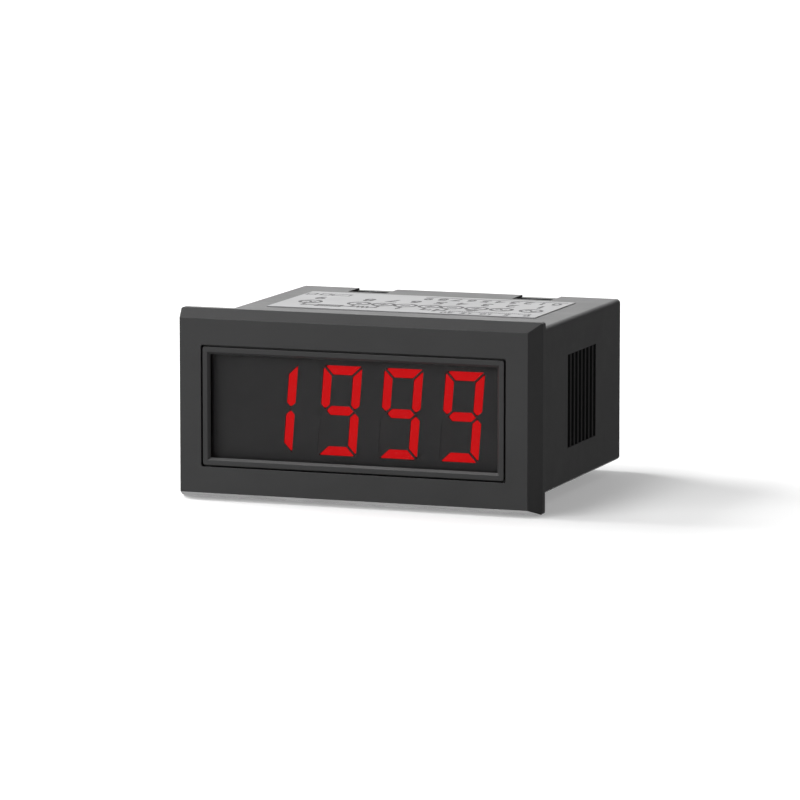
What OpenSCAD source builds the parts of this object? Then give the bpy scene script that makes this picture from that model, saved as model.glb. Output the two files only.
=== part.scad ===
// Digital panel meter: a flush-mounting case with a four-cell LED display behind a smoked filter,
// three circuit boards, a small transformer and a row of screw terminals at the rear.
// The origin is the middle of the panel cut-out, on the face that the bezel seats against.
// X runs to the right as the display is read, Y to the rear and Z up.

/* [Bezel] */
// Width of the bezel
bezel_w = 72; // [70:0.5:80]
// Height of the bezel
bezel_h = 36; // [35:0.5:42]
// Thickness of the bezel's straight rim
bezel_rim = 1.4; // [1:0.1:2.5]
// Depth of the slope that runs round the front of the bezel
slope_depth = 4.7; // [4:0.1:7]
// How far the slope draws the front face in on each side
slope_inset = 1.44; // [0.8:0.02:1.8]
// Radius of the bezel's corners
bezel_corner_r = 0.5; // [0.2:0.1:1.5]

/* [Case] */
// How far the bezel stands out past the sleeve at each side
lip_side = 2.95; // [2:0.05:4]
// How far the bezel stands out past the sleeve above and below
lip_top = 2.2; // [1.5:0.05:3]
// Depth of the sleeve behind the panel
sleeve_depth = 55.2; // [54:0.2:75]
// Wall of the sleeve
wall = 2; // [1.8:0.1:2.4]
// Radius of the sleeve's corners
sleeve_corner_r = 0.8; // [0.4:0.1:2]
// Thickness of the ledge that the front insert seats on
ledge_t = 1.2; // [1:0.1:1.8]

/* [Front insert] */
// Distance from the bezel's side to the insert
insert_margin_side = 5.7; // [5:0.1:7]
// Distance from the bezel's top and bottom to the insert
insert_margin_top = 6.4; // [5.8:0.1:7]
// Thickness of the insert
insert_t = 2; // [1.8:0.1:2.6]
// Width of the shadow line round the insert
groove_w = 0.4; // [0.2:0.05:0.6]
// Depth of the shadow line round the insert
groove_depth = 1.1; // [0.6:0.1:1.2]
// Width of the insert's rails at the front
frame_rail = 1.35; // [1.1:0.05:1.6]
// Thickness of the lip that holds the filter in
filter_lip = 0.6; // [0.4:0.05:0.8]
// Bevel on the lip's inner edge
lip_bevel = 0.45; // [0.2:0.05:0.55]
// How far the filter reaches under the lip
filter_overlap = 0.6; // [0.4:0.05:0.8]
// Ledge under the insert at each side
ledge_side = 1.7; // [1.5:0.1:2.2]
// Ledge under the insert above and below
ledge_top = 1.5; // [1.4:0.1:1.8]
// Width of each snap tongue
tongue_w = 4; // [3:0.5:6]
// Thickness of each snap tongue
tongue_t = 0.8; // [0.6:0.1:0.9]
// Reach of each snap tongue's catch
tongue_catch = 0.4; // [0.3:0.05:0.5]

/* [Display] */
// Bare width at the left of the first cell
display_blank = 7.25; // [6:0.25:9]
// Gap at the right of the last cell
display_gap = 1.55; // [1:0.05:2.5]
// Clearance above and below the cells
cell_clear = 0.35; // [0.2:0.05:0.6]
// Gap between the filter and the cells
filter_gap = 0.2; // [0.1:0.1:0.6]
// Depth of a cell
cell_depth = 8; // [6:0.5:10]
// Border above and below a figure on its cell
figure_border = 1.2; // [0.9:0.1:2]
// Width of a figure
figure_w = 7.75; // [7:0.05:8.2]
// Width of a figure's bars
bar_w = 1.8; // [1.2:0.1:2]
// Gap between two bars
bar_gap = 0.32; // [0.2:0.02:0.6]
// Depth of the bars into the cell
bar_depth = 1.2; // [0.8:0.1:3]
// Slant of the figures in degrees
figure_slant = 4.5; // [0:0.5:8]
// Radius of a decimal point
point_r = 0.8; // [0.5:0.05:0.9]
// How far the leading half figure stands to the left of its cell's place for bars
lead_shift = 0.7; // [0:0.1:1.2]

/* [Boards] */
// Thickness of the circuit boards
board_t = 1.6; // [1.2:0.2:2]
// Gap between the upright boards and the sleeve
board_clear = 0.35; // [0.3:0.05:0.8]
// Space under the main board
board_under = 2; // [1.8:0.1:3]
// Radius of the posts that the display board seats on
post_r = 1.4; // [1:0.1:1.6]
// Height of the rails' ribs above the sleeve's inner face
rail_reach = 1.2; // [1:0.1:1.6]
// Thickness of the rails' ribs
rail_t = 0.8; // [0.6:0.1:0.9]
// Play of the main board between its rails
rail_play = 0.1; // [0.05:0.05:0.2]
// Pitch of the connector pins
pin_pitch = 2.54; // [2:0.02:3]
// Width of a connector pin
pin_w = 0.6; // [0.4:0.05:0.7]
// Pins in each connector
pin_count = 8; // [4:1:10]
// Width and height of a connector's body
header_w = 2.5; // [2.2:0.1:3]

/* [Components] */
// Gap between the converter chip's ends and the sides of the board
chip_end_gap = 4.55; // [4:0.05:10]
// Gap between the front connector and the converter chip's legs
chip_front_gap = 2; // [1:0.1:4]
// Gap between the converter chip's legs and the winding
chip_rear_gap = 1.86; // [0.8:0.02:3]
// Thickness of the converter chip
chip_t = 3.8; // [3:0.1:5]
// Legs along each side of the converter chip
legs_per_side = 20; // [14:1:20]
// Gap between the transformer's core and the sleeve's left side
core_side_gap = 2.6; // [1.6:0.1:4]
// Gap between the bridge rectifier and the sleeve's right side
row_side_gap = 6.1; // [5.6:0.1:9]
// Height of the transformer's core
core_h = 20; // [17:0.5:20.5]
// Thickness of the transformer's stack
core_t = 9.5; // [8:0.5:10]
// Width of the core's windows as a multiple of the width of its legs
window_ratio = 1.6; // [1:0.1:2]
// Reach of the winding in front of the core and behind it
coil_reach = 2.2; // [1.5:0.1:2.4]
// Radius of the supply capacitors
capacitor_r = 4; // [3:0.1:4.2]
// Height of the supply capacitors
capacitor_h = 13; // [10:0.5:18]
// Radius of the bridge rectifier
rectifier_r = 4.2; // [3.5:0.1:4.5]
// Height of the bridge rectifier
rectifier_h = 5.5; // [4:0.5:8]
// Width of the film capacitor
film_w = 7.2; // [5:0.1:7.4]
// Thickness of the film capacitor
film_t = 3; // [2:0.1:3.6]
// Height of the film capacitor
film_h = 7.4; // [5:0.2:12]
// Length of a resistor's body
resistor_l = 6.3; // [5:0.1:7]
// Radius of a resistor's body
resistor_r = 1.1; // [0.8:0.05:1.2]
// Width and height of a trimmer
trimmer_w = 7; // [6:0.2:9]
// Thickness of a trimmer
trimmer_t = 4.6; // [4:0.2:7]
// Radius of a trimmer's rotor
rotor_r = 2.2; // [1.8:0.1:2.6]
// Running gap round a trimmer's rotor
rotor_gap = 0.05; // [0.02:0.01:0.1]
// Distance of each trimmer from the middle
trimmer_x = 8; // [6:0.5:12]
// Height of the trimmers above the middle
trimmer_z = 6.6; // [5.4:0.2:8]

/* [Terminals] */
// Depth of the terminal block
block_depth = 11.2; // [10:0.2:12]
// Height of the terminal block
block_h = 12; // [11.6:0.2:13]
// Gap between the terminal block and the floor of the sleeve
block_floor = 1.5; // [1:0.1:2]
// Gap between the terminal block and the sleeve at each side
block_margin = 2.4; // [2.2:0.1:4]
// Thickness of the terminal block's base
base_t = 3.6; // [3:0.1:4.4]
// Thickness of the barriers
barrier_t = 1.2; // [1:0.1:1.6]
// Radius of the terminal screws
screw_r = 1.5; // [1.2:0.1:1.7]
// Length of the terminal screws under the head
screw_l = 5; // [4:0.2:5.2]
// Radius of the screw heads
head_r = 2.8; // [2.4:0.1:3]
// Height of the screw heads
head_h = 2; // [1.6:0.1:2.4]
// Gap between a terminal screw and its holes
screw_gap = 0.06; // [0.03:0.01:0.1]
// Border of each contact plate round its clamp washer
washer_border = 0.5; // [0.3:0.05:0.8]
// Thickness of the clamp washers
washer_t = 1; // [0.8:0.1:1.4]
// Gap between the contact plates and the barriers
plate_side_gap = 0.475; // [0.2:0.025:0.8]
// Height of the contact plates
plate_h = 6.8; // [6.6:0.1:7]
// Thickness of the contact plates
plate_t = 0.8; // [0.6:0.1:1]
// Depth of the screws' middle below the top of the block
screw_drop = 3.7; // [3.4:0.1:4]

/* [Rear cover] */
// Thickness of the rear cover
cover_t = 1.8; // [1.4:0.1:2.4]
// Gap round the rear cover
cover_clear = 0.15; // [0.1:0.05:0.3]
// Width of the notches in the sleeve's rear edge
notch_w = 8; // [7:0.5:10]
// Length of the notches from the rear edge
notch_l = 6.6; // [6.2:0.1:9]
// Distance of each notch from the middle
notch_x = 17; // [14:0.5:20]
// How far the cover's lugs lie below the top of the sleeve
lug_drop = 0.35; // [0.2:0.05:0.6]
// Height of the side arms
arm_h = 6; // [4:0.5:8]
// Length of the side arms
arm_l = 7; // [6:0.1:7.4]
// Thickness of the side arms
arm_t = 1.1; // [0.8:0.1:1.3]
// Reach of the arms' catches
catch_reach = 0.6; // [0.4:0.05:0.8]
// Length of the arms' catches
catch_l = 2.6; // [2:0.1:3]
// Play round each catch in its pocket
catch_play = 0.2; // [0.1:0.05:0.3]
// Gap between a screwdriver hole and the rotor behind it
driver_clear = 0.2; // [0.1:0.05:0.6]

/* [Vents] */
// Slots in each side
vent_count = 8; // [4:1:9]
// Width of a slot
vent_slot = 1.5; // [1:0.05:1.6]
// Width of the ribs between the slots
vent_rib = 0.75; // [0.6:0.05:1]
// Height of the slots
vent_h = 17.8; // [12:0.2:18]
// Middle of the slots behind the panel
vent_y = 31.1; // [28:0.1:36]
// Thickness of the ribs
vent_rib_t = 1.2; // [0.8:0.1:1.6]
// Margin of the thinned wall round the slots
vent_margin = 0.3; // [0.1:0.05:0.35]

/* [Label] */
// Width of the label
label_w = 54.3; // [40:0.1:58]
// Length of the label
label_l = 25; // [15:0.5:25]
// Thickness of the label
label_t = 0.12; // [0.08:0.01:0.3]
// Front edge of the label behind the panel
label_y = 21; // [10:0.5:22]
// How far the label's middle lies to the left of the sleeve's
label_shift = 0.25; // [0:0.05:1]

/* [Hidden] */
$fn = 48;

// Cuts run past a face by this much, and joined shapes run into each other by it
over = 0.5;
// Cells of the display and terminals at the rear
cell_count = 4;
terminal_count = 6;

// Bezel, sleeve and cavity
face_y = -bezel_rim - slope_depth;
sleeve_w = bezel_w - 2 * lip_side;
sleeve_h = bezel_h - 2 * lip_top;
cavity_w = sleeve_w - 2 * wall;
cavity_h = sleeve_h - 2 * wall;
cavity_r = 0.4;
ledge_y = face_y + insert_t;
cavity_y = ledge_y + ledge_t;

// Front insert and the openings behind it
insert_w = bezel_w - 2 * insert_margin_side;
insert_h = bezel_h - 2 * insert_margin_top;
insert_r = 0.4;
insert_play = 0.1;
throat_w = insert_w - 2 * ledge_side;
throat_h = insert_h - 2 * ledge_top;
window_w = insert_w - 2 * (groove_w + frame_rail);
window_h = insert_h - 2 * (groove_w + frame_rail);
filter_w = window_w + 2 * filter_overlap;
filter_h = window_h + 2 * filter_overlap;
filter_play = 0.05;
tongue_x = insert_w / 3;
tongue_tip = 0.9;
tongue_back = ledge_t + tongue_tip;
tongue_play = 0.1;
tongue_root = filter_h / 2 + filter_play;

// Display cells and figures
cell_pitch = (throat_w - display_blank - display_gap) / cell_count;
cell_h = throat_h - 2 * cell_clear;
cell_play = 0.1;
cell_y = ledge_y + filter_gap;
figure_h = cell_h - 2 * figure_border;
first_cell_x = -throat_w / 2 + display_blank + cell_pitch / 2;
half_w = figure_w / 2;
half_h = figure_h / 2;
bar_pull = bar_gap / sqrt(2);
point_x = half_w + point_r + bar_gap;

// Boards
display_board_y = cell_y + cell_depth;
block_y = sleeve_depth - block_depth;
terminal_board_y = block_y - board_t;
main_y0 = display_board_y + board_t;
main_y1 = terminal_board_y;
main_z = -cavity_h / 2 + board_under + board_t;
upright_w = cavity_w - 2 * board_clear;
upright_h = cavity_h - 2 * board_clear;
main_w = cavity_w - 2 * board_clear;
post_gap = 0.1;
post_inset = post_r + board_clear + post_gap;
rail_gap = 0.4;
pin_tail = 1;
pin_reach = 1;
pin_bend = header_w + pin_reach;
pin_z = main_z + header_w / 2;
hole_play = 0.1;

// Components on the main board. The converter chip fills the length that the front connector and the
// transformer leave, and the core fills the width that the row of round parts leaves.
coil_clear = 1.2;
core_y = main_y1 - coil_clear - coil_reach - core_t / 2;
leg_reach = 0.72;
chip_row_y0 = main_y0 + header_w + chip_front_gap;
chip_row_y1 = core_y - core_t / 2 - coil_reach - chip_rear_gap;
chip_row = chip_row_y1 - chip_row_y0;
chip_y = (chip_row_y0 + chip_row_y1) / 2;
chip_w = chip_row - 2 * leg_reach;
chip_l = main_w - 2 * chip_end_gap;
chip_stand = 0.5;
leg_w = 0.5;
leg_t = 0.3;
core_row_gap = 1.4;
row_gap = 0.8;
rectifier_x = cavity_w / 2 - row_side_gap - rectifier_r;
capacitor_2_x = rectifier_x - rectifier_r - row_gap - capacitor_r;
capacitor_1_x = capacitor_2_x - row_gap - 2 * capacitor_r;
core_w = capacitor_1_x - capacitor_r - core_row_gap - core_side_gap + cavity_w / 2;
core_x = -cavity_w / 2 + core_side_gap + core_w / 2;
core_leg = core_w / (4 + 2 * window_ratio);
core_window = core_leg * window_ratio;
window_gap = 0.3;
capacitor_gap = 1.2;
capacitor_y = chip_row_y1 + capacitor_gap + capacitor_r;
connector_x = (capacitor_1_x + capacitor_2_x) / 2;
resistor_gap = 0.8;
lead_r = 0.3;
lead_x = resistor_l / 2 + 3 * lead_r;
end_resistor_x = rectifier_x + rectifier_r + resistor_gap + resistor_r;
film_gap = 1;
film_x = end_resistor_x + resistor_r - film_w / 2;

// Terminals and rear cover
block_w = cavity_w - 2 * block_margin;
block_top = block_floor + block_h - cavity_h / 2;
terminal_pitch = (block_w - barrier_t) / terminal_count;
screw_z = block_top - screw_drop;
plate_w = terminal_pitch - barrier_t - 2 * plate_side_gap;
washer_w = plate_w - 2 * washer_border;
plate_y = block_y + base_t;
plate_top = 0.3;
tail_w = 1;
tail_h = 0.8;
washer_y = plate_y + plate_t;
head_y = washer_y + washer_t;
cover_y = sleeve_depth - cover_t;
cover_w = cavity_w - 2 * cover_clear;
cover_h = cavity_h - 2 * cover_clear;
arm_z = trimmer_z;
catch_end = 1;
pocket_depth = catch_reach + catch_play;
trimmer_recess = 1.2;
rotor_proud = 0.1;

// Colours
plastic = "#2b2b2b";
board_green = "#1d5b34";
metal = "#c9c9c4";
brass = "#c8a95a";

// A flat rectangle with rounded corners, centred
module rounded_rect(w, h, r) {
  square([w - 2 * r, h], center = true);
  square([w, h - 2 * r], center = true);
  for (x = [-1, 1], z = [-1, 1]) translate([x * (w / 2 - r), z * (h / 2 - r)]) circle(r);
}

// Stands a flat shape upright and runs it from y0 to y1
module along_y(y0, y1) {
  translate([0, y1, 0]) rotate([90, 0, 0]) linear_extrude(y1 - y0) children();
}

// A block centred on the Y axis, from y0 to y1
module slab(w, h, y0, y1) {
  translate([-w / 2, y0, -h / 2]) cube([w, y1 - y0, h]);
}

// A block w by h at y_wide that has lost the inset on each side by y_narrow
module tapered(w, h, inset, y_wide, y_narrow) {
  intersection() {
    linear_extrude(2 * h, center = true) taper_profile(w, inset, y_wide, y_narrow);
    rotate([0, 90, 0]) linear_extrude(2 * w, center = true) taper_profile(h, inset, y_wide, y_narrow);
  }
}

module taper_profile(w, inset, y_wide, y_narrow) {
  polygon([[-w / 2, y_wide], [w / 2, y_wide], [w / 2 - inset, y_narrow], [inset - w / 2, y_narrow]]);
}

// Case: the bezel and the sleeve are one moulding
module case() {
  color(plastic) {
    difference() {
      union() {
        bezel();
        along_y(-over, sleeve_depth) rounded_rect(sleeve_w, sleeve_h, sleeve_corner_r);
      }
      along_y(face_y - over, ledge_y) rounded_rect(insert_w, insert_h, insert_r);
      slab(throat_w, throat_h, ledge_y - over, cavity_y + over);
      along_y(cavity_y, sleeve_depth + over) rounded_rect(cavity_w, cavity_h, cavity_r);
      tongue_slots();
      for (side = [-1, 1]) {
        vents(side);
        catch_pocket(side);
        translate([side * notch_x, sleeve_depth - notch_l, cavity_h / 2 - over])
          translate([-notch_w / 2, 0, 0]) cube([notch_w, notch_l + over, wall + 2 * over]);
      }
    }
    board_posts();
    board_rails();
  }
}

module bezel() {
  intersection() {
    along_y(face_y, 0) rounded_rect(bezel_w, bezel_h, bezel_corner_r);
    union() {
      slab(bezel_w, bezel_h, -bezel_rim, 0);
      tapered(bezel_w, bezel_h, slope_inset, -bezel_rim, face_y);
    }
  }
}

// Places its children at the four snap tongues, with +Z of each away from the middle
module at_tongues() {
  for (x = [-tongue_x, tongue_x], z = [0, 1]) translate([x, 0, 0]) mirror([0, 0, z]) children();
}

module tongue_slots() {
  slot_top = tongue_root + tongue_t + tongue_play;
  at_tongues() translate([-tongue_w / 2 - tongue_play, ledge_y - over, 0])
    cube([tongue_w + 2 * tongue_play, ledge_t + 2 * over, slot_top]);
}

// A field of slots with the wall thinned behind them
module vents(side) {
  field = vent_count * vent_slot + (vent_count - 1) * vent_rib;
  pocket_l = field + 2 * vent_margin;
  pocket_h = vent_h + 2 * vent_margin;
  translate([side * (cavity_w / 2 + (wall - vent_rib_t) / 2 - over / 2), vent_y, 0])
    cube([wall - vent_rib_t + over, pocket_l, pocket_h], center = true);
  for (i = [0:vent_count - 1])
    translate([side * sleeve_w / 2, vent_y - field / 2 + vent_slot / 2 + i * (vent_slot + vent_rib), 0])
      cube([2 * wall + 2 * over, vent_slot, vent_h], center = true);
}

// The pocket that a side arm of the rear cover catches in
module catch_pocket(side) {
  pocket_l = catch_l + 2 * catch_play;
  pocket_x = cavity_w / 2 + (pocket_depth - over) / 2;
  pocket_y = cover_y - arm_l + catch_end + catch_l / 2;
  translate([side * pocket_x, pocket_y, arm_z])
    cube([pocket_depth + over, pocket_l, arm_h + 2 * catch_play], center = true);
}

module board_posts() {
  for (x = [-1, 1], z = [-1, 1])
    translate([x * (cavity_w / 2 - post_inset), cavity_y - over, z * (cavity_h / 2 - post_inset)])
      rotate([-90, 0, 0]) cylinder(r = post_r, h = display_board_y - cavity_y + over);
}

// Two ribs at each side guide the main board
module board_rails() {
  rail_y0 = main_y0 + rail_gap;
  rail_y1 = main_y1 - rail_gap;
  for (side = [-1, 1], z = [main_z + rail_play, main_z - board_t - rail_play - rail_t])
    translate([side * (cavity_w / 2 + over / 2 - rail_reach / 2), (rail_y0 + rail_y1) / 2, z + rail_t / 2])
      cube([rail_reach + over, rail_y1 - rail_y0, rail_t], center = true);
}

// Front insert: a frame with a bevelled opening that snaps into the bezel
module front_frame() {
  color(plastic) {
    difference() {
      union() {
        along_y(face_y, ledge_y) rounded_rect(insert_w - 2 * groove_w, insert_h - 2 * groove_w, insert_r);
        along_y(face_y + groove_depth, ledge_y)
          rounded_rect(insert_w - 2 * insert_play, insert_h - 2 * insert_play, insert_r);
      }
      slab(window_w, window_h, face_y - over, ledge_y + over);
      tapered(window_w + 2 * lip_bevel, window_h + 2 * lip_bevel, lip_bevel, face_y, face_y + lip_bevel);
      slab(filter_w + 2 * filter_play, filter_h + 2 * filter_play, face_y + filter_lip, ledge_y + over);
    }
    at_tongues() snap_tongue();
  }
}

// A tongue that passes the ledge and catches behind it
module snap_tongue() {
  top_z = tongue_root + tongue_t;
  tip_y = ledge_y + tongue_back;
  catch_y = ledge_y + ledge_t + insert_play;
  translate([tongue_w / 2, 0, 0]) rotate([0, -90, 0]) linear_extrude(tongue_w) polygon([
    [tongue_root, ledge_y - over], [tongue_root, tip_y], [tongue_root + tongue_t / 2, tip_y],
    [top_z + tongue_catch, catch_y], [top_z, catch_y], [top_z, ledge_y - over]
  ]);
}

// Filter: a smoked pane behind the lip of the front insert
module filter_window() {
  color("#2a1416") along_y(face_y + filter_lip, ledge_y) rounded_rect(filter_w, filter_h, insert_r);
}

module top_label() {
  color("#c4c4c4") translate([-label_w / 2 - label_shift, label_y, sleeve_h / 2])
    cube([label_w, label_l, label_t]);
}

// Leans a point of a figure by the slant
function lean(p) = [p.x + p.y * tan(figure_slant), p.y];
function flip(points, x, z) = [for (p = points) [p.x * x, p.y * z]];

// Outlines of the bars, before they lean
top_bar = [
  [bar_pull - half_w, half_h], [half_w - bar_pull, half_h],
  [half_w - bar_w - bar_pull, half_h - bar_w], [bar_w + bar_pull - half_w, half_h - bar_w]
];
side_bar = [
  [half_w, half_h - bar_pull], [half_w - bar_w, half_h - bar_w - bar_pull],
  [half_w - bar_w, bar_w / 2 + bar_pull], [half_w - bar_w / 2, bar_pull], [half_w, bar_w / 2 + bar_pull]
];
middle_reach = half_w - bar_w / 2 - bar_pull;
middle_bar = [
  [middle_reach, 0], [middle_reach - bar_w / 2, bar_w / 2], [bar_w / 2 - middle_reach, bar_w / 2],
  [-middle_reach, 0], [bar_w / 2 - middle_reach, -bar_w / 2], [middle_reach - bar_w / 2, -bar_w / 2]
];
upper_right = side_bar;
lower_right = flip(side_bar, 1, -1);
upper_left = flip(side_bar, -1, 1);
lower_left = flip(side_bar, -1, -1);
bottom_bar = flip(top_bar, 1, -1);
// The minus sign is a smaller middle bar to the left of the leading figure
sign_scale = [0.6, 0.7];
sign_shift = 0.35;
sign_bar = [for (p = middle_bar) [p.x * sign_scale.x - half_w * sign_shift, p.y * sign_scale.y]];

// Bars that glow and bars that stay dark in cell k
function lit_bars(k) = k == 1 ? [upper_right, lower_right]
  : [top_bar, upper_right, lower_right, bottom_bar, upper_left, middle_bar];
function dark_bars(k) = k == 1 ? [sign_bar] : [lower_left];
function cell_x(k) = first_cell_x + (k - 1) * cell_pitch - (k == 1 ? lead_shift : 0);

module bar_shapes(bars) {
  for (bar = bars) polygon([for (p = bar) lean(p)]);
}

module point_shape(k) {
  if (k > 1) translate(lean([point_x, point_r - half_h])) circle(point_r);
}

module digit_cell(k) {
  cell_w = cell_pitch - cell_play;
  color("#4a4a4a") difference() {
    translate([first_cell_x + (k - 1) * cell_pitch, 0, 0]) slab(cell_w, cell_h, cell_y, display_board_y);
    translate([cell_x(k), 0, 0]) along_y(cell_y - over, cell_y + bar_depth) {
      bar_shapes(lit_bars(k));
      bar_shapes(dark_bars(k));
      point_shape(k);
    }
  }
}

module lit_bars_in(k) {
  color("#e0181c") translate([cell_x(k), 0, 0]) along_y(cell_y, cell_y + bar_depth) bar_shapes(lit_bars(k));
}

module dark_bars_in(k) {
  color("#5a4a48") translate([cell_x(k), 0, 0]) along_y(cell_y, cell_y + bar_depth) {
    bar_shapes(dark_bars(k));
    point_shape(k);
  }
}

module display_board() {
  color(board_green) difference() {
    slab(upright_w, upright_h, display_board_y, display_board_y + board_t);
    pin_holes_along_y(display_board_y, 0);
  }
}

module main_board() {
  color(board_green) difference() {
    translate([-main_w / 2, main_y0, main_z - board_t]) cube([main_w, main_y1 - main_y0, board_t]);
    pin_holes_down(main_y0, 1, 0);
    pin_holes_down(main_y1, -1, connector_x);
  }
}

module terminal_board() {
  color(board_green) difference() {
    slab(upright_w, upright_h, terminal_board_y, block_y);
    pin_holes_along_y(terminal_board_y, connector_x);
    for (k = [1:terminal_count])
      translate([terminal_x(k), 0, tail_z()]) slab(tail_w + 2 * hole_play, tail_h + 2 * hole_play,
        terminal_board_y - over, block_y + over);
  }
}

// Places its children at each pin of a connector
module at_pins(x) {
  for (i = [0:pin_count - 1]) translate([x + (i - (pin_count - 1) / 2) * pin_pitch, 0, 0]) children();
}

module pin_holes_along_y(y, x) {
  at_pins(x) translate([0, 0, pin_z])
    slab(pin_w + 2 * hole_play, pin_w + 2 * hole_play, y - over, y + board_t + over);
}

module pin_holes_down(y, dir, x) {
  at_pins(x) translate([0, y + dir * pin_bend, main_z - board_t / 2])
    cube([pin_w + 2 * hole_play, pin_w + 2 * hole_play, board_t + 2 * over], center = true);
}

// The moulded body of a connector against the upright board at y
module connector(y, dir, x) {
  length = pin_count * pin_pitch;
  color("#1f1f1f") difference() {
    translate([x, y + dir * header_w / 2, pin_z]) cube([length, header_w, header_w], center = true);
    at_pins(x) translate([0, y, pin_z])
      cube([pin_w + 2 * hole_play, 4 * header_w, pin_w + 2 * hole_play], center = true);
  }
}

// Pins that come through the upright board at y and bend down through the main board
module connector_pins(y, dir, x) {
  run = board_t + pin_bend + pin_w / 2;
  drop = pin_z - main_z + board_t + pin_tail;
  color(metal) at_pins(x) {
    translate([0, y + dir * (run / 2 - board_t), pin_z]) cube([pin_w, run, pin_w], center = true);
    translate([0, y + dir * pin_bend, pin_z - drop / 2]) cube([pin_w, pin_w, drop], center = true);
  }
}

module converter_chip() {
  notch_r = 1.2;
  color("#222222") translate([0, chip_y, main_z + chip_stand]) difference() {
    translate([-chip_l / 2, -chip_w / 2, 0]) cube([chip_l, chip_w, chip_t]);
    translate([-chip_l / 2, 0, chip_t - notch_r / 2]) cylinder(r = notch_r, h = chip_t);
  }
}

// Two rows of legs that bend out of the chip and down to the board
module chip_legs() {
  pitch = chip_l / legs_per_side;
  mid_z = main_z + chip_stand + chip_t / 2;
  color(metal) for (side = [-1, 1], i = [0:legs_per_side - 1])
    translate([(i - (legs_per_side - 1) / 2) * pitch, chip_y + side * (chip_row / 2), 0]) {
      translate([-leg_w / 2, -leg_t / 2, main_z]) cube([leg_w, leg_t, mid_z - main_z]);
      translate([-leg_w / 2, side > 0 ? -leg_reach : -leg_t / 2, mid_z - leg_t])
        cube([leg_w, leg_reach + leg_t / 2, leg_t]);
    }
}

// A stack of laminations with two windows for the winding
module transformer_core() {
  rivet_r = 0.9;
  color("#6d6f72") translate([core_x, core_y, main_z + core_h / 2]) difference() {
    slab(core_w, core_h, -core_t / 2, core_t / 2);
    for (side = [-1, 1])
      translate([side * (core_leg + core_window / 2), 0, 0])
        slab(core_window, core_h - 2 * core_leg, -core_t, core_t);
    for (x = [-1, 1], z = [-1, 1])
      translate([x * (core_w - core_leg) / 2, 0, z * (core_h - core_leg) / 2])
        rotate([90, 0, 0]) cylinder(r = rivet_r, h = 2 * core_t, center = true);
  }
}

// The winding fills the windows and stands out in front of the core and behind it
module transformer_coil() {
  coil_w = 2 * (core_leg + core_window - window_gap);
  coil_l = core_t + 2 * coil_reach;
  coil_h = core_h - 2 * core_leg - 2 * window_gap;
  coil_r = 1.6;
  color("#b5702f") translate([core_x, core_y, main_z + core_h / 2]) difference() {
    linear_extrude(coil_h, center = true) rounded_rect(coil_w, coil_l, coil_r);
    cube([2 * core_leg + 2 * window_gap, core_t + 2 * window_gap, 2 * coil_h], center = true);
  }
}

// An upright capacitor with a rolled edge and a crimp near the board
module supply_capacitor(x) {
  roll = 0.5;
  crimp = 0.35;
  crimp_z = 2;
  crimp_half = 0.4;
  color("#1c2f52") translate([x, capacitor_y, main_z]) rotate_extrude() polygon([
    [0, 0], [capacitor_r - crimp, 0], [capacitor_r, crimp],
    [capacitor_r, crimp_z - crimp_half], [capacitor_r - crimp, crimp_z], [capacitor_r, crimp_z + crimp_half],
    [capacitor_r, capacitor_h - roll], [capacitor_r - roll, capacitor_h],
    [capacitor_r - 2 * roll, capacitor_h], [capacitor_r - 2 * roll, capacitor_h - roll / 2],
    [0, capacitor_h - roll / 2]
  ]);
}

module bridge_rectifier() {
  color("#202020") translate([rectifier_x, capacitor_y, main_z]) cylinder(r = rectifier_r, h = rectifier_h);
}

module film_capacitor() {
  film_r = 0.6;
  color("#a8352a") translate([film_x, capacitor_y + rectifier_r + film_gap + film_t / 2, main_z])
    linear_extrude(film_h) rounded_rect(film_w, film_t, film_r);
}

// Two resistors behind the capacitors and one beside the rectifier
module resistors() {
  row_y = capacitor_y + capacitor_r + resistor_gap + resistor_r;
  spacing = 2 * (lead_x + lead_r) + resistor_gap;
  color("#c9b48a") {
    for (x = [capacitor_1_x, capacitor_1_x + spacing]) translate([x, row_y, main_z]) resistor();
    translate([end_resistor_x, capacitor_y, main_z]) rotate([0, 0, 90]) resistor();
  }
}

// A lying resistor with swollen ends, its leads bent down to the board
module resistor() {
  waist = 0.15;
  end_round = 0.4;
  bead_l = 1.2;
  end = resistor_l / 2;
  half_profile = [
    [0, end], [resistor_r - end_round, end], [resistor_r, end - end_round],
    [resistor_r, end - bead_l], [resistor_r - waist, end - bead_l - end_round]
  ];
  translate([0, 0, resistor_r]) rotate([0, 90, 0]) rotate_extrude()
    polygon(concat(half_profile, [for (i = [4:-1:0]) [half_profile[i].x, -half_profile[i].y]]));
  translate([0, 0, resistor_r]) rotate([0, 90, 0]) cylinder(r = lead_r, h = 2 * lead_x, center = true);
  for (side = [-1, 1]) translate([side * lead_x, 0, 0]) cylinder(r = lead_r, h = resistor_r + lead_r);
}

function terminal_x(k) = (k - (terminal_count + 1) / 2) * terminal_pitch;
function tail_z() = block_top - plate_top - plate_h + tail_h / 2;

// A hole for a terminal screw through what is t thick from y
module screw_hole(y, t) {
  translate([0, y - over, screw_z]) rotate([-90, 0, 0]) cylinder(r = screw_r + screw_gap, h = t + 2 * over);
}

module terminal_block() {
  color("#26282b") difference() {
    union() {
      translate([-block_w / 2, block_y, block_top - block_h]) cube([block_w, base_t, block_h]);
      for (i = [0:terminal_count])
        translate([-block_w / 2 + i * terminal_pitch, block_y, block_top - block_h])
          cube([barrier_t, block_depth, block_h]);
    }
    for (k = [1:terminal_count]) translate([terminal_x(k), 0, 0]) {
      screw_hole(block_y, base_t);
      translate([0, 0, tail_z()])
        slab(tail_w + 2 * hole_play, tail_h + 2 * hole_play, block_y - over, plate_y + over);
    }
  }
}

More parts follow.
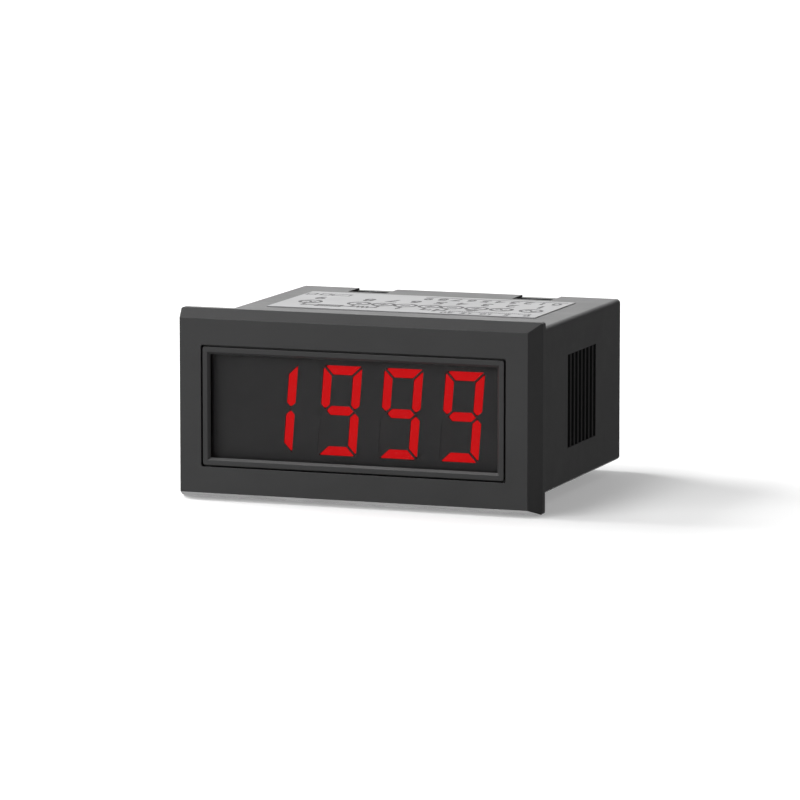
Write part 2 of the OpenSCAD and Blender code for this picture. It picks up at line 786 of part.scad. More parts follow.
// A contact plate with a solder tail that passes through the block and the board
module contact_plate(k) {
  color(brass) translate([terminal_x(k), 0, 0]) difference() {
    union() {
      translate([-plate_w / 2, plate_y, block_top - plate_top - plate_h]) cube([plate_w, plate_t, plate_h]);
      translate([0, 0, tail_z()]) slab(tail_w, tail_h, terminal_board_y - pin_tail, plate_y + plate_t);
    }
    screw_hole(plate_y, plate_t);
  }
}

module clamp_washer(k) {
  color(metal) translate([terminal_x(k), 0, 0]) difference() {
    translate([0, 0, screw_z]) slab(washer_w, washer_w, washer_y, head_y);
    screw_hole(washer_y, washer_t);
  }
}

// A pan-head screw with a crossed recess
module terminal_screw(k) {
  head_round = 0.5;
  point = 0.4;
  recess_w = 0.75;
  recess_l = head_r * 1.3;
  recess_depth = head_h / 2;
  color(metal) translate([terminal_x(k), head_y, screw_z]) rotate([-90, 0, 0]) difference() {
    rotate_extrude() polygon([
      [0, -screw_l], [screw_r - point, -screw_l], [screw_r, point - screw_l], [screw_r, 0], [head_r, 0],
      [head_r, head_h - 2 * head_round], [head_r - head_round, head_h - head_round / 2],
      [head_r - 2 * head_round, head_h], [0, head_h]
    ]);
    for (a = [0, 90]) rotate([0, 0, a]) translate([0, 0, head_h])
      cube([recess_l, recess_w, 2 * recess_depth], center = true);
  }
}

module trimmer(x) {
  trimmer_front = block_y + trimmer_t;
  color("#2f5fa8") difference() {
    translate([x, 0, trimmer_z]) slab(trimmer_w, trimmer_w, block_y, trimmer_front);
    translate([x, trimmer_front - trimmer_recess, trimmer_z]) rotate([-90, 0, 0])
      cylinder(r = rotor_r + rotor_gap, h = trimmer_recess + over);
  }
}

module rotor(x) {
  slot_w = 0.7;
  slot_depth = 0.6;
  rotor_h = trimmer_recess + rotor_proud;
  color("#e8e4d8") translate([x, block_y + trimmer_t - trimmer_recess, trimmer_z]) rotate([-90, 0, 0])
    difference() {
      cylinder(r = rotor_r, h = rotor_h);
      translate([0, 0, rotor_h]) cube([3 * rotor_r, slot_w, 2 * slot_depth], center = true);
    }
}

// Rear cover: a plate round the terminal block, with lugs in the notches and two snap arms
module rear_cover() {
  block_clear = 0.2;
  color(plastic) {
    difference() {
      union() {
        along_y(cover_y, sleeve_depth) rounded_rect(cover_w, cover_h, cavity_r);
        for (side = [-1, 1]) cover_lug(side * notch_x);
      }
      translate([0, 0, block_top - block_h / 2])
        slab(block_w + 2 * block_clear, block_h + 2 * block_clear, cover_y - over, sleeve_depth + over);
      for (x = [-trimmer_x, trimmer_x]) translate([x, cover_y - over, trimmer_z])
        rotate([-90, 0, 0]) cylinder(r = rotor_r + driver_clear, h = cover_t + 2 * over);
    }
    for (side = [0, 1]) mirror([side, 0, 0]) snap_arm();
  }
}

module cover_lug(x) {
  lug_w = notch_w - 2 * cover_clear;
  lug_top = sleeve_h / 2 - lug_drop;
  translate([x - lug_w / 2, cover_y, 0]) cube([lug_w, cover_t, lug_top]);
}

module snap_arm() {
  outer = cover_w / 2;
  tip_y = cover_y - arm_l;
  catch_y = tip_y + catch_end;
  translate([0, 0, arm_z - arm_h / 2]) linear_extrude(arm_h) polygon([
    [outer - arm_t, cover_y + over], [outer - arm_t, tip_y], [outer, tip_y], [outer, catch_y],
    [outer + catch_reach, catch_y + catch_l], [outer, catch_y + catch_l], [outer, cover_y + over]
  ]);
}

case();
front_frame();
filter_window();
top_label();
rear_cover();
display_board();
digit_cell(1);  // digit_cell_1
digit_cell(2);  // digit_cell_2
digit_cell(3);  // digit_cell_3
digit_cell(4);  // digit_cell_4
lit_bars_in(1);  // lit_bars_1
lit_bars_in(2);  // lit_bars_2
lit_bars_in(3);  // lit_bars_3
lit_bars_in(4);  // lit_bars_4
dark_bars_in(1);  // dark_bars_1
dark_bars_in(2);  // dark_bars_2
dark_bars_in(3);  // dark_bars_3
dark_bars_in(4);  // dark_bars_4
main_board();
terminal_board();
connector(main_y0, 1, 0);  // front_connector
connector(main_y1, -1, connector_x);  // rear_connector
connector_pins(main_y0, 1, 0);  // front_pins
connector_pins(main_y1, -1, connector_x);  // rear_pins
converter_chip();
chip_legs();
transformer_core();
transformer_coil();
supply_capacitor(capacitor_1_x);  // supply_capacitor_1
supply_capacitor(capacitor_2_x);  // supply_capacitor_2
bridge_rectifier();
film_capacitor();
resistors();
trimmer(-trimmer_x);  // zero_trimmer
trimmer(trimmer_x);  // span_trimmer
rotor(-trimmer_x);  // zero_rotor
rotor(trimmer_x);  // span_rotor
terminal_block();
contact_plate(1);  // contact_plate_1
contact_plate(2);  // contact_plate_2
contact_plate(3);  // contact_plate_3
contact_plate(4);  // contact_plate_4
contact_plate(5);  // contact_plate_5
contact_plate(6);  // contact_plate_6
clamp_washer(1);  // clamp_washer_1
clamp_washer(2);  // clamp_washer_2
clamp_washer(3);  // clamp_washer_3
clamp_washer(4);  // clamp_washer_4
clamp_washer(5);  // clamp_washer_5
clamp_washer(6);  // clamp_washer_6
terminal_screw(1);  // terminal_screw_1
terminal_screw(2);  // terminal_screw_2
terminal_screw(3);  // terminal_screw_3
terminal_screw(4);  // terminal_screw_4
terminal_screw(5);  // terminal_screw_5
terminal_screw(6);  // terminal_screw_6
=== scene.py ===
"""Digital panel meter: finishes, printed and moulded details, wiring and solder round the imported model."""

import math

import bmesh
import bpy
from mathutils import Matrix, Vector


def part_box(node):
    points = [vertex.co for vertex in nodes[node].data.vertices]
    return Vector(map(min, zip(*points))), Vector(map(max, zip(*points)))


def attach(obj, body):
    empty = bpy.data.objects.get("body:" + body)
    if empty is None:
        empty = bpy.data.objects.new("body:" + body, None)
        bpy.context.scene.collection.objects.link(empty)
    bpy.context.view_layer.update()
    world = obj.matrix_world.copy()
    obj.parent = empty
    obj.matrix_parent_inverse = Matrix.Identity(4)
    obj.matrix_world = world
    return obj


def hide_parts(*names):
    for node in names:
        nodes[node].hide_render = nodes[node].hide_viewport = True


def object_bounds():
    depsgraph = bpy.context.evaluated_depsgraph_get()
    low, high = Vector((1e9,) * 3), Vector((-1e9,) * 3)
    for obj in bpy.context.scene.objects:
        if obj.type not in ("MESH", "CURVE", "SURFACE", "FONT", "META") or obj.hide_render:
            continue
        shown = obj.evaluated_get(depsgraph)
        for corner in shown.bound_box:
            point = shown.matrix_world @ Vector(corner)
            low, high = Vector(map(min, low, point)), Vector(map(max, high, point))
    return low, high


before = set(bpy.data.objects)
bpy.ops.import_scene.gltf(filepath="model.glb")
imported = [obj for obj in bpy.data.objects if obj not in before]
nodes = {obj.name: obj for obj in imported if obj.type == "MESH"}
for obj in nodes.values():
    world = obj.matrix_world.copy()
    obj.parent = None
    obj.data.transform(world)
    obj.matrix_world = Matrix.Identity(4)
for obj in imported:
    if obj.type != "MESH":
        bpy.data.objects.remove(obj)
cad_low, cad_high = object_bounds()
for plain in list(bpy.data.materials):
    bpy.data.materials.remove(plain)

MM = 0.001
CELLS = range(1, 5)
TERMINALS = range(1, 7)
HOUSING = "housing"


def add_object(name, data):
    """A new object in the scene, at the origin."""
    made = bpy.data.objects.new(name, data)
    bpy.context.scene.collection.objects.link(made)
    return made


def plain_mesh(holder):
    """The mesh that comes out of an object's curve or modifiers."""
    graph = bpy.context.evaluated_depsgraph_get()
    return bpy.data.meshes.new_from_object(holder.evaluated_get(graph), depsgraph=graph)


def coat(mesh, material):
    """Gives a mesh one material in place of those it has."""
    mesh.materials.clear()
    mesh.materials.append(material)


def merged(mesh, reach_mm):
    """A working copy of a mesh with its doubled points joined."""
    work = bmesh.new()
    work.from_mesh(mesh)
    bmesh.ops.remove_doubles(work, verts=work.verts, dist=MM * reach_mm)
    return work


def settle(piece, name, body):
    """Names a finished piece and gives it its body."""
    piece.name = name
    piece.data.name = name
    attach(piece, body)


def middle(name):
    """Centre of a node in millimetres."""
    low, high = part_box(name)
    return (low + high) / 2 / MM


def ends(name):
    """Lowest and highest corner of a node in millimetres."""
    low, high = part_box(name)
    return low / MM, high / MM


def numbered(stem, numbers):
    return [f"{stem}_{k}" for k in numbers]


# ---------------------------------------------------------------- node kit

class Value:
    """A number in a node tree. Sums and products of values add the Math nodes that work them out."""

    def __init__(self, net, socket):
        self.net = net
        self.socket = socket

    def math(self, operation, *others):
        return self.net.node("Math", {"operation": operation}, dict(enumerate((self, *others))))

    def __add__(self, other):
        return self.math("ADD", other)

    def __sub__(self, other):
        return self.math("SUBTRACT", other)

    def __mul__(self, other):
        return self.math("MULTIPLY", other)

    def __rsub__(self, other):
        return self.net.node("Math", {"operation": "SUBTRACT"}, {0: other, 1: self})

    __radd__ = __add__
    __rmul__ = __mul__

    def size(self):
        return self.math("ABSOLUTE")

    def least(self, other):
        return self.math("MINIMUM", other)

    def most(self, other):
        return self.math("MAXIMUM", other)

    def over(self, edge, blur=0.05):
        """1 where the value is above the edge, 0 where it is below, with a soft step."""
        step = {"Value": self, "From Min": edge - blur, "From Max": edge + blur}
        return self.net.node("MapRange", {"interpolation_type": "SMOOTHSTEP"}, step)

    def under(self, edge, blur=0.05):
        return 1.0 - self.over(edge, blur)

    def within(self, low, high, blur=0.05):
        return self.over(low, blur) * self.under(high, blur)

    def repeat(self, pitch):
        """Distance from the nearest multiple of the pitch."""
        return self.math("PINGPONG", pitch / 2)


class Net:
    """A node tree. A node is added by its type, its settings and the values or links of its sockets."""

    prefixes = ("ShaderNode",)

    def node(self, kind, settings, values, out=0):
        full = next(prefix + kind for prefix in self.prefixes if hasattr(bpy.types, prefix + kind))
        made = self.tree.nodes.new(full)
        for key, setting in settings.items():
            setattr(made, key, setting)
        for key, value in values.items():
            self.put(made.inputs[key], value)
        return Value(self, made.outputs[out])

    def put(self, socket, value):
        if isinstance(value, Value):
            self.tree.links.new(value.socket, socket)
        elif socket.type == "RGBA" and len(value) == 3:
            socket.default_value = (*value, 1.0)
        else:
            socket.default_value = value


class Finish(Net):
    """A material with one Principled surface, whose patterns are laid out in millimetres."""

    def __init__(self, name):
        self.material = bpy.data.materials.new(name)
        self.material.use_nodes = True
        self.tree = self.material.node_tree
        self.tree.nodes.clear()
        self.surface = self.tree.nodes.new("ShaderNodeBsdfPrincipled")
        output = self.tree.nodes.new("ShaderNodeOutputMaterial")
        self.tree.links.new(self.surface.outputs[0], output.inputs["Surface"])
        place = self.node("TexCoord", {}, {}, "Object")
        self.mm = self.node("VectorMath", {"operation": "SCALE"}, {0: place, "Scale": 1 / MM})

    def axes(self, centre=(0.0, 0.0, 0.0)):
        """The three coordinates in millimetres, counted from a centre."""
        away = self.node("VectorMath", {"operation": "SUBTRACT"}, {0: self.mm, 1: centre})
        return [self.node("SeparateXYZ", {}, {0: away}, i) for i in range(3)]

    def facing(self):
        """The three parts of the surface's own normal."""
        normal = self.node("NewGeometry", {}, {}, "Normal")
        return [self.node("SeparateXYZ", {}, {0: normal}, i) for i in range(3)]

    def radius(self, a, b):
        return (a * a + b * b).math("SQRT")

    def squeezed(self, x, y, z):
        """Position with each axis multiplied by its own factor."""
        return self.node("VectorMath", {"operation": "MULTIPLY"}, {0: self.mm, 1: (x, y, z)})

    def noise(self, per_mm, detail=2.0, roughness=0.5, place=None):
        """Cloudy noise of 0 to 1, with so many clouds to the millimetre."""
        values = {"Vector": place or self.mm, "Scale": per_mm, "Detail": detail, "Roughness": roughness}
        return self.node("TexNoise", {}, values)

    def cells(self, per_mm, distance="EUCLIDEAN"):
        """Distance from the middle of the nearest of many scattered cells."""
        values = {"Vector": self.mm, "Scale": per_mm}
        return self.node("TexVoronoi", {"distance": distance}, values, "Distance")

    def blend(self, factor, first, second):
        """Mixes two colours."""
        return self.node("Mix", {"data_type": "RGBA"}, {0: factor, 6: first, 7: second}, 2)

    def shade(self, colour, amount):
        """A colour made lighter or darker by a value round 1."""
        return self.node("VectorMath", {"operation": "SCALE"}, {0: colour, "Scale": amount})

    def rounded(self, radius_mm):
        """The surface's normal over edges rounded by a radius."""
        return self.node("Bevel", {"samples": 6}, {"Radius": radius_mm * MM})

    def worn_edges(self, radius_mm):
        """1 along the sharp edges of a piece and 0 on its flats."""
        starts, full = 0.02, 0.2
        true_normal = self.node("NewGeometry", {}, {}, "Normal")
        values = {0: self.rounded(radius_mm), 1: true_normal}
        facing = self.node("VectorMath", {"operation": "DOT_PRODUCT"}, values, "Value")
        return self.node("MapRange", {}, {"Value": 1.0 - facing, "From Min": starts, "From Max": full})

    def bump(self, height, depth_mm, edge_mm=0.0):
        """Bumps the surface by a height of 0 to 1, over edges rounded by edge_mm."""
        values = {"Height": height, "Distance": depth_mm * MM, "Strength": 1.0}
        if edge_mm:
            values["Normal"] = self.rounded(edge_mm)
        self.put(self.surface.inputs["Normal"], self.node("Bump", {}, values))

    def set(self, **values):
        """Fills the surface's sockets, named with _ for a space, and returns the material."""
        for key, value in values.items():
            self.put(self.surface.inputs[key.replace("_", " ")], value)
        return self.material


class Growth(Net):
    """A Geometry Nodes tree with named inputs for its sizes, whose result is made a plain mesh."""

    prefixes = ("GeometryNode", "ShaderNode", "FunctionNode")
    socket_types = {float: "NodeSocketFloat", int: "NodeSocketInt"}

    def __init__(self, name, **sizes):
        self.name = name
        self.sizes = sizes
        self.tree = bpy.data.node_groups.new(name, "GeometryNodeTree")
        sockets = self.tree.interface
        sockets.new_socket("Places", in_out="INPUT", socket_type="NodeSocketGeometry")
        for key, value in sizes.items():
            sockets.new_socket(key, in_out="INPUT", socket_type=self.socket_types[type(value)])
        sockets.new_socket("Geometry", in_out="OUTPUT", socket_type="NodeSocketGeometry")
        self.inlet = self.tree.nodes.new("NodeGroupInput")

    def size(self, key):
        return Value(self, self.inlet.outputs[key])

    def vector(self, x, y, z):
        return self.node("CombineXYZ", {}, {0: x, 1: y, 2: z})

    def grow(self, shape, material, places=((0.0, 0.0, 0.0),)):
        """Runs the tree on points at the given places and returns the plain mesh object."""
        whole = self.node("RealizeInstances", {}, {0: shape})
        dressed = self.node("SetMaterial", {}, {"Geometry": whole, "Material": material})
        outlet = self.tree.nodes.new("NodeGroupOutput")
        self.put(outlet.inputs[0], dressed)
        points = bpy.data.meshes.new(self.name)
        points.from_pydata([tuple(place) for place in places], [], [])
        piece = add_object(self.name, points)
        modifier = piece.modifiers.new("growth", "NODES")
        modifier.node_group = self.tree
        for item in self.tree.interface.items_tree:
            if item.in_out == "INPUT" and item.name in self.sizes:
                modifier[item.identifier] = self.sizes[item.name]
        grown = plain_mesh(piece)
        piece.modifiers.remove(modifier)
        coat(grown, material)
        for face in grown.polygons:
            face.material_index = 0
        piece.data = grown
        bpy.data.meshes.remove(points)
        return piece


# ---------------------------------------------------------------- drawing kit

class Plane:
    """A face that thin solids are laid on. Across and up are seen from outside, in millimetres."""

    def __init__(self, origin, across, up):
        self.origin = Vector(origin)
        self.across = Vector(across)
        self.up = Vector(up)
        self.out = self.across.cross(self.up)

    def at(self, a, b, h):
        return (self.origin + self.across * a + self.up * b + self.out * h) * MM


FONT_SIZE_PER_HEIGHT = 1.38
BOLDER_PER_HEIGHT = 0.024


class Drawing:
    """Closed raised strokes, dots and figures on a plane, kept together as one mesh."""

    def __init__(self, plane, height, sunk=0.0):
        self.plane = plane
        self.height = height
        self.sunk = sunk
        self.shapes = 0
        self.points = []
        self.faces = []

    def top(self):
        """Height of the next shape. It differs a little from the last, so that no two tops coincide."""
        step, levels = 0.02, 9
        self.shapes += 1
        return self.height * (1.0 + step * (self.shapes % levels))

    def solid(self, outline):
        """A raised plate with a convex outline that runs anticlockwise."""
        count, first = len(outline), len(self.points)
        for h in (-self.sunk, self.top()):
            self.points += [self.plane.at(a, b, h) for a, b in outline]
        self.faces.append([first + count + i for i in range(count)])
        self.faces.append([first + i for i in reversed(range(count))])
        for i in range(count):
            j = (i + 1) % count
            self.faces.append([first + i, first + j, first + count + j, first + count + i])

    def stroke(self, points, width, closed=False):
        """A line of one width through points, mitred at its corners."""
        sharpest_mitre = 0.3
        spots = [Vector(p) for p in points]
        count, first, top = len(spots), len(self.points), self.top()
        for i, spot in enumerate(spots):
            before = spots[i - 1] if i or closed else spot * 2 - spots[1]
            after = spots[(i + 1) % count] if i < count - 1 or closed else spot * 2 - spots[i - 1]
            left_in = Vector((before.y - spot.y, spot.x - before.x)).normalized()
            left_out = Vector((spot.y - after.y, after.x - spot.x)).normalized()
            left = (left_in + left_out).normalized()
            reach = width / 2 / max(left.dot(left_in), sharpest_mitre)
            for side, h in ((1, top), (-1, top), (-1, -self.sunk), (1, -self.sunk)):
                a, b = spot + left * reach * side
                self.points.append(self.plane.at(a, b, h))
        for i in range(count if closed else count - 1):
            here, there = first + 4 * i, first + 4 * ((i + 1) % count)
            for k in range(4):
                n = (k + 1) % 4
                self.faces.append([here + k, here + n, there + n, there + k])
        if not closed:
            last = first + 4 * (count - 1)
            self.faces.append([first + 3, first + 2, first + 1, first])
            self.faces.append([last, last + 1, last + 2, last + 3])

    def arc(self, a, b, radius, start, end, width, steps=16):
        """A line along an arc from one angle to another, in degrees."""
        self.stroke(arc_points(a, b, radius, start, end, steps), width)

    def ring(self, a, b, radius, width, steps=24):
        self.stroke(arc_points(a, b, radius, 0, 360, steps)[:-1], width, True)

    def dot(self, a, b, radius, steps=16):
        self.solid(arc_points(a, b, radius, 0, 360, steps)[:-1])

    def box(self, a, b, wide, high, width):
        x, y = wide / 2, high / 2
        self.stroke([(a - x, b - y), (a + x, b - y), (a + x, b + y), (a - x, b + y)], width, True)

    def plus(self, a, b, size, width):
        h, w = size / 2, width / 2
        self.stroke([(a - h, b), (a + h, b)], width)
        self.stroke([(a, b + w), (a, b + h)], width)
        self.stroke([(a, b - h), (a, b - w)], width)

    def minus(self, a, b, size, width):
        self.stroke([(a - size / 2, b), (a + size / 2, b)], width)

    def arrow(self, a, b, turn, size):
        """A filled arrowhead whose tip points along the turn in degrees."""
        barb, barb_turn = size * 0.8, 140
        corners = ((turn, size), (turn + barb_turn, barb), (turn - barb_turn, barb))
        self.solid([on_circle(a, b, radius, angle) for angle, radius in corners])

    def figures(self, text, a, b, height):
        """Plain figures centred on a spot, made bolder except for a 4, whose opening would close."""
        font = bpy.data.curves.new("figures", "FONT")
        font.body = text
        font.size = height * FONT_SIZE_PER_HEIGHT
        font.align_x = "CENTER"
        font.align_y = "CENTER"
        font.resolution_u = 2
        font.offset = 0.0 if "4" in text else height * BOLDER_PER_HEIGHT
        self.lay(font, a, b)

    def sheet(self, outline, openings):
        """A flat plate with openings. All outlines run anticlockwise."""
        curve = bpy.data.curves.new("sheet", "CURVE")
        curve.dimensions = "2D"
        curve.fill_mode = "BOTH"
        for ring in [outline[::-1]] + openings:
            spline = curve.splines.new("POLY")
            spline.points.add(len(ring) - 1)
            spline.use_cyclic_u = True
            for point, (a, b) in zip(spline.points, ring):
                point.co = (a, b, 0, 1)
        self.lay(curve, 0, 0)

    def lay(self, curve, a, b):
        """Adds the filled shape of a flat curve on a spot and removes the curve."""
        curve.extrude = 0.5
        holder = add_object("shape", curve)
        mesh = plain_mesh(holder)
        first, top = len(self.points), self.top()
        for v in mesh.vertices:
            lift = top if v.co.z > 0 else -self.sunk
            self.points.append(self.plane.at(a + v.co.x, b + v.co.y, lift))
        self.faces += [[first + i for i in face.vertices] for face in mesh.polygons]
        bpy.data.objects.remove(holder)
        bpy.data.curves.remove(curve)
        bpy.data.meshes.remove(mesh)

    def piece(self, name, material, body, slot):
        """Makes the drawing a finished piece of the object."""
        mesh = bpy.data.meshes.new(name)
        mesh.from_pydata(self.points, [], self.faces)
        coat(mesh, material)
        close_seams(mesh)
        settle(add_object(name, mesh), name, body)


def on_circle(a, b, radius, angle):
    """The point of a circle at an angle in degrees."""
    turn = math.radians(angle)
    return a + radius * math.cos(turn), b + radius * math.sin(turn)


def arc_points(a, b, radius, start, end, steps):
    return [on_circle(a, b, radius, start + (end - start) * i / steps) for i in range(steps + 1)]


def close_seams(mesh):
    """Joins the doubled points of a mesh."""
    work = merged(mesh, 1e-4)
    work.to_mesh(mesh)
    work.free()


# ---------------------------------------------------------------- finishes

CASE_BLACK = (0.026, 0.026, 0.0265)
VENTS_Y = (22.4, 39.8)      # from the first slot's front to the last slot's back
VENTS_TOP = 8.95            # from the middle
VENT_WALL = (30.0, 32.98)   # a side wall between the inside and the open, from the middle


def spark_grain(finish, per_mm):
    """Height of a spark-eroded moulding texture."""
    return finish.noise(per_mm, 3.0, 0.6) * 0.7 + finish.cells(per_mm * 0.7) * 0.3


def moulded(name, grain_per_mm, clouds_per_mm, edge_mm):
    """A finish of moulded plastic with its grain, its clouds and its worn edges."""
    finish = Finish(name)
    grain = spark_grain(finish, grain_per_mm)
    return finish, grain, finish.noise(clouds_per_mm, 3.0), finish.worn_edges(edge_mm)


def case_plastic():
    """The case's black plastic. Over the side vents its colour is painted darker, and darker still inside the
    slots: painted shade.
    """
    finish = Finish("case_plastic")
    x, y, z = finish.axes()
    inner_face, outer_face = VENT_WALL
    field = y.within(*VENTS_Y) * z.size().under(VENTS_TOP) * x.size().over(inner_face)
    slot = x.size().under(outer_face, 0.03) * field
    cloud = finish.noise(0.09, 4.0)
    flow = finish.noise(0.5, 3.0, place=finish.squeezed(0.25, 1.0, 0.6))
    grain = spark_grain(finish, 5.0)
    worn = finish.worn_edges(0.1)
    rubbed = finish.noise(0.35, 3.0).over(0.5, 0.2)
    scuffs = finish.noise(1.6, 5.0, 0.7, finish.squeezed(1.0, 0.3, 1.0)).over(0.68, 0.06)
    skin = 0.86 + cloud * 0.12 + flow * 0.08 + grain * 0.08 + worn * (0.25 + rubbed * 0.3)
    # Painted shade: the vent field is darkened to 0.4 of its tone and the slots' walls to half of that, for
    # the shade inside the vents.
    shade = (1.0 - slot * 0.5) * (1.0 - field * 0.6)
    rough = 0.36 + cloud * 0.12 + flow * 0.06 - worn * 0.1 - scuffs * 0.05 + field * 0.25
    finish.bump(grain, 0.01, 0.07)
    return finish.set(Base_Color=finish.shade(CASE_BLACK, skin * shade), IOR=1.5, Roughness=rough)


def label_foil():
    """Matt silvered label stock with a fine brushed grain."""
    finish = Finish("label_foil")
    brushed = finish.noise(3.0, 3.0, place=finish.squeezed(0.15, 4.0, 1.0))
    cloud = finish.noise(0.12, 3.0)
    worn = finish.worn_edges(0.15)
    finish.bump(brushed, 0.002, 0.03)
    silver = finish.shade((0.275, 0.275, 0.28), 0.93 + brushed * 0.08 + cloud * 0.08 + worn * 0.1)
    return finish.set(Base_Color=silver, Roughness=0.36 + cloud * 0.12)


def label_ink():
    """Screen-printed black ink, thin in places so that the foil shines through."""
    finish = Finish("label_ink")
    patchy = finish.noise(4.0, 2.0)
    thin = finish.noise(9.0, 4.0, 0.7).over(0.66, 0.05)
    finish.bump(patchy, 0.002)
    return finish.set(Base_Color=finish.shade((0.028, 0.028, 0.03), 0.8 + patchy * 0.4 + thin * 0.9),
                      Roughness=0.5 + patchy * 0.1)


def board_ink():
    """White epoxy ink of the boards' printed outlines."""
    finish = Finish("board_ink")
    patchy = finish.noise(5.0, 2.0)
    finish.bump(patchy, 0.003)
    return finish.set(Base_Color=finish.shade((0.72, 0.72, 0.68), 0.85 + patchy * 0.25), Roughness=0.5)


def stamped_white():
    """Hot-stamped white on the raised figures, rubbed grey on their edges."""
    finish = Finish("stamped_white")
    patchy = finish.noise(3.0, 3.0)
    worn = finish.worn_edges(0.06) * finish.noise(0.9, 3.0).over(0.48, 0.1)
    finish.bump(patchy, 0.004, 0.03)
    white = finish.blend(worn, (0.66, 0.66, 0.63), (0.1, 0.1, 0.1))
    return finish.set(Base_Color=finish.shade(white, 0.84 + patchy * 0.25), Roughness=0.42 + patchy * 0.12)


def smoked_filter():
    """Smoked acrylic whose back is painted where it rests on the ledge."""
    finish = Finish("smoked_filter")
    ledge_x, ledge_z, back = 28.45, 9.8, -4.3
    x, y, z = finish.axes()
    on_ledge = x.size().over(ledge_x, 0.02).most(z.size().over(ledge_z, 0.02))
    painted = on_ledge * y.over(back, 0.02)
    haze = finish.noise(0.2, 3.0)
    lint = finish.cells(0.28).under(0.035, 0.015) * finish.noise(0.7).over(0.6, 0.03)
    finish.bump(finish.noise(0.4, 2.0), 0.002, 0.05)
    tint = finish.blend(painted, (0.004, 0.003, 0.0032), (0.048, 0.047, 0.048))
    return finish.set(Base_Color=finish.shade(tint, 0.9 + haze * 0.2), IOR=1.49, Specular_IOR_Level=0.3,
                      Roughness=0.16 + haze * 0.06 + lint * 0.2, Alpha=0.28 + haze * 0.04 + painted * 0.7)


def digit_cell_paint():
    """Matt dark grey paint of the digit cells and of the mask in front of them."""
    finish = Finish("digit_cell_paint")
    speck = finish.noise(5.0, 3.0)
    cloud = finish.noise(0.2, 2.0)
    worn = finish.worn_edges(0.1)
    finish.bump(speck, 0.0015, 0.04)
    grey = finish.shade((0.094, 0.094, 0.096), 0.92 + speck * 0.06 + cloud * 0.1 + worn * 0.2)
    return finish.set(Base_Color=grey, Roughness=0.62 + speck * 0.08, Specular_IOR_Level=0.25)


def lit_bar():
    """Red diffuser with a lamp behind it, a little uneven in its glow."""
    finish = Finish("lit_bar")
    grain = finish.noise(4.0, 2.0)
    cloud = finish.noise(0.35, 2.0)
    glow = finish.blend(cloud * 0.5, (1.0, 0.001, 0.006), (1.0, 0.004, 0.001))
    glow = finish.shade(glow, 0.92 + grain * 0.06 + cloud * 0.1)
    finish.bump(grain, 0.002)
    return finish.set(Base_Color=(0.25, 0.002, 0.002), Roughness=0.5, Specular_IOR_Level=0.2,
                      Emission_Color=glow, Emission_Strength=0.96)


def dark_bar():
    """Smoky diffuser with its lamp out, almost as dark as the cell round it."""
    finish = Finish("dark_bar")
    grain = finish.noise(4.0, 2.0)
    cloud = finish.noise(0.4, 2.0)
    finish.bump(grain, 0.002)
    return finish.set(Base_Color=finish.shade((0.096, 0.093, 0.095), 0.92 + grain * 0.08 + cloud * 0.08),
                      Roughness=0.5 + grain * 0.08, Specular_IOR_Level=0.25)


def board_laminate():
    """Green lacquer over copper tracks and woven glass, with the bare laminate at the sawn edges."""
    finish = Finish("board_laminate")
    thread, edge_x, edge_z = 0.7, 30.68, 13.43
    x, y, z = finish.axes()
    nx, _, nz = finish.facing()
    weave = (x.repeat(thread) * z.repeat(thread) + y.repeat(thread) * x.repeat(thread)) * 4.0
    tracks = finish.cells(0.33, "CHEBYCHEV")
    copper = tracks.within(0.22, 0.32, 0.02).most(tracks.within(0.44, 0.5, 0.02))
    ground = finish.noise(0.12, 1.0).over(0.56, 0.01)
    copper = copper.most(ground)
    cloud = finish.noise(0.3, 3.0)
    lacquer = finish.blend(copper, (0.012, 0.105, 0.04), (0.022, 0.2, 0.07))
    sawn = (x.size().over(edge_x, 0.01) * nx.size()).most(z.size().over(edge_z, 0.01) * nz.size())
    bare = finish.blend(sawn, lacquer, (0.34, 0.36, 0.16))
    finish.bump(copper + weave * 0.15, 0.03, 0.05)
    return finish.set(Base_Color=finish.shade(bare, 0.86 + cloud * 0.2 + weave * 0.08),
                      Roughness=0.25 + cloud * 0.1 + sawn * 0.4, Coat_Weight=0.3 - sawn * 0.3)


def connector_plastic():
    """Black moulding of the board connectors."""
    finish, grain, cloud, worn = moulded("connector_plastic", 7.0, 0.5, 0.08)
    finish.bump(grain, 0.006, 0.08)
    return finish.set(Base_Color=finish.shade((0.02, 0.021, 0.024), 0.85 + cloud * 0.25 + worn * 0.6),
                      Roughness=0.42 + grain * 0.12)


def tinned_pins():
    """Dipped tin: soft ripples, duller where it has oxidised."""
    finish = Finish("tinned_pins")
    ripple = finish.noise(2.6, 2.0)
    dull = finish.noise(0.9, 4.0, 0.65)
    finish.bump(ripple, 0.02, 0.05)
    grey = finish.blend(dull.over(0.52, 0.12), (0.74, 0.74, 0.72), (0.52, 0.52, 0.5))
    return finish.set(Base_Color=grey, Metallic=1.0, Roughness=0.22 + dull * 0.25)


def chip_epoxy():
    """Filled moulding compound with a sprinkle of filler grains."""
    finish, grain, cloud, worn = moulded("chip_epoxy", 8.0, 0.15, 0.1)
    filler = finish.cells(6.0).under(0.12, 0.04)
    finish.bump(grain, 0.008, 0.08)
    black = finish.shade((0.019, 0.019, 0.02), 0.85 + cloud * 0.2 + filler * 0.5 + worn * 0.5)
    return finish.set(Base_Color=black, Roughness=0.5 + grain * 0.15)


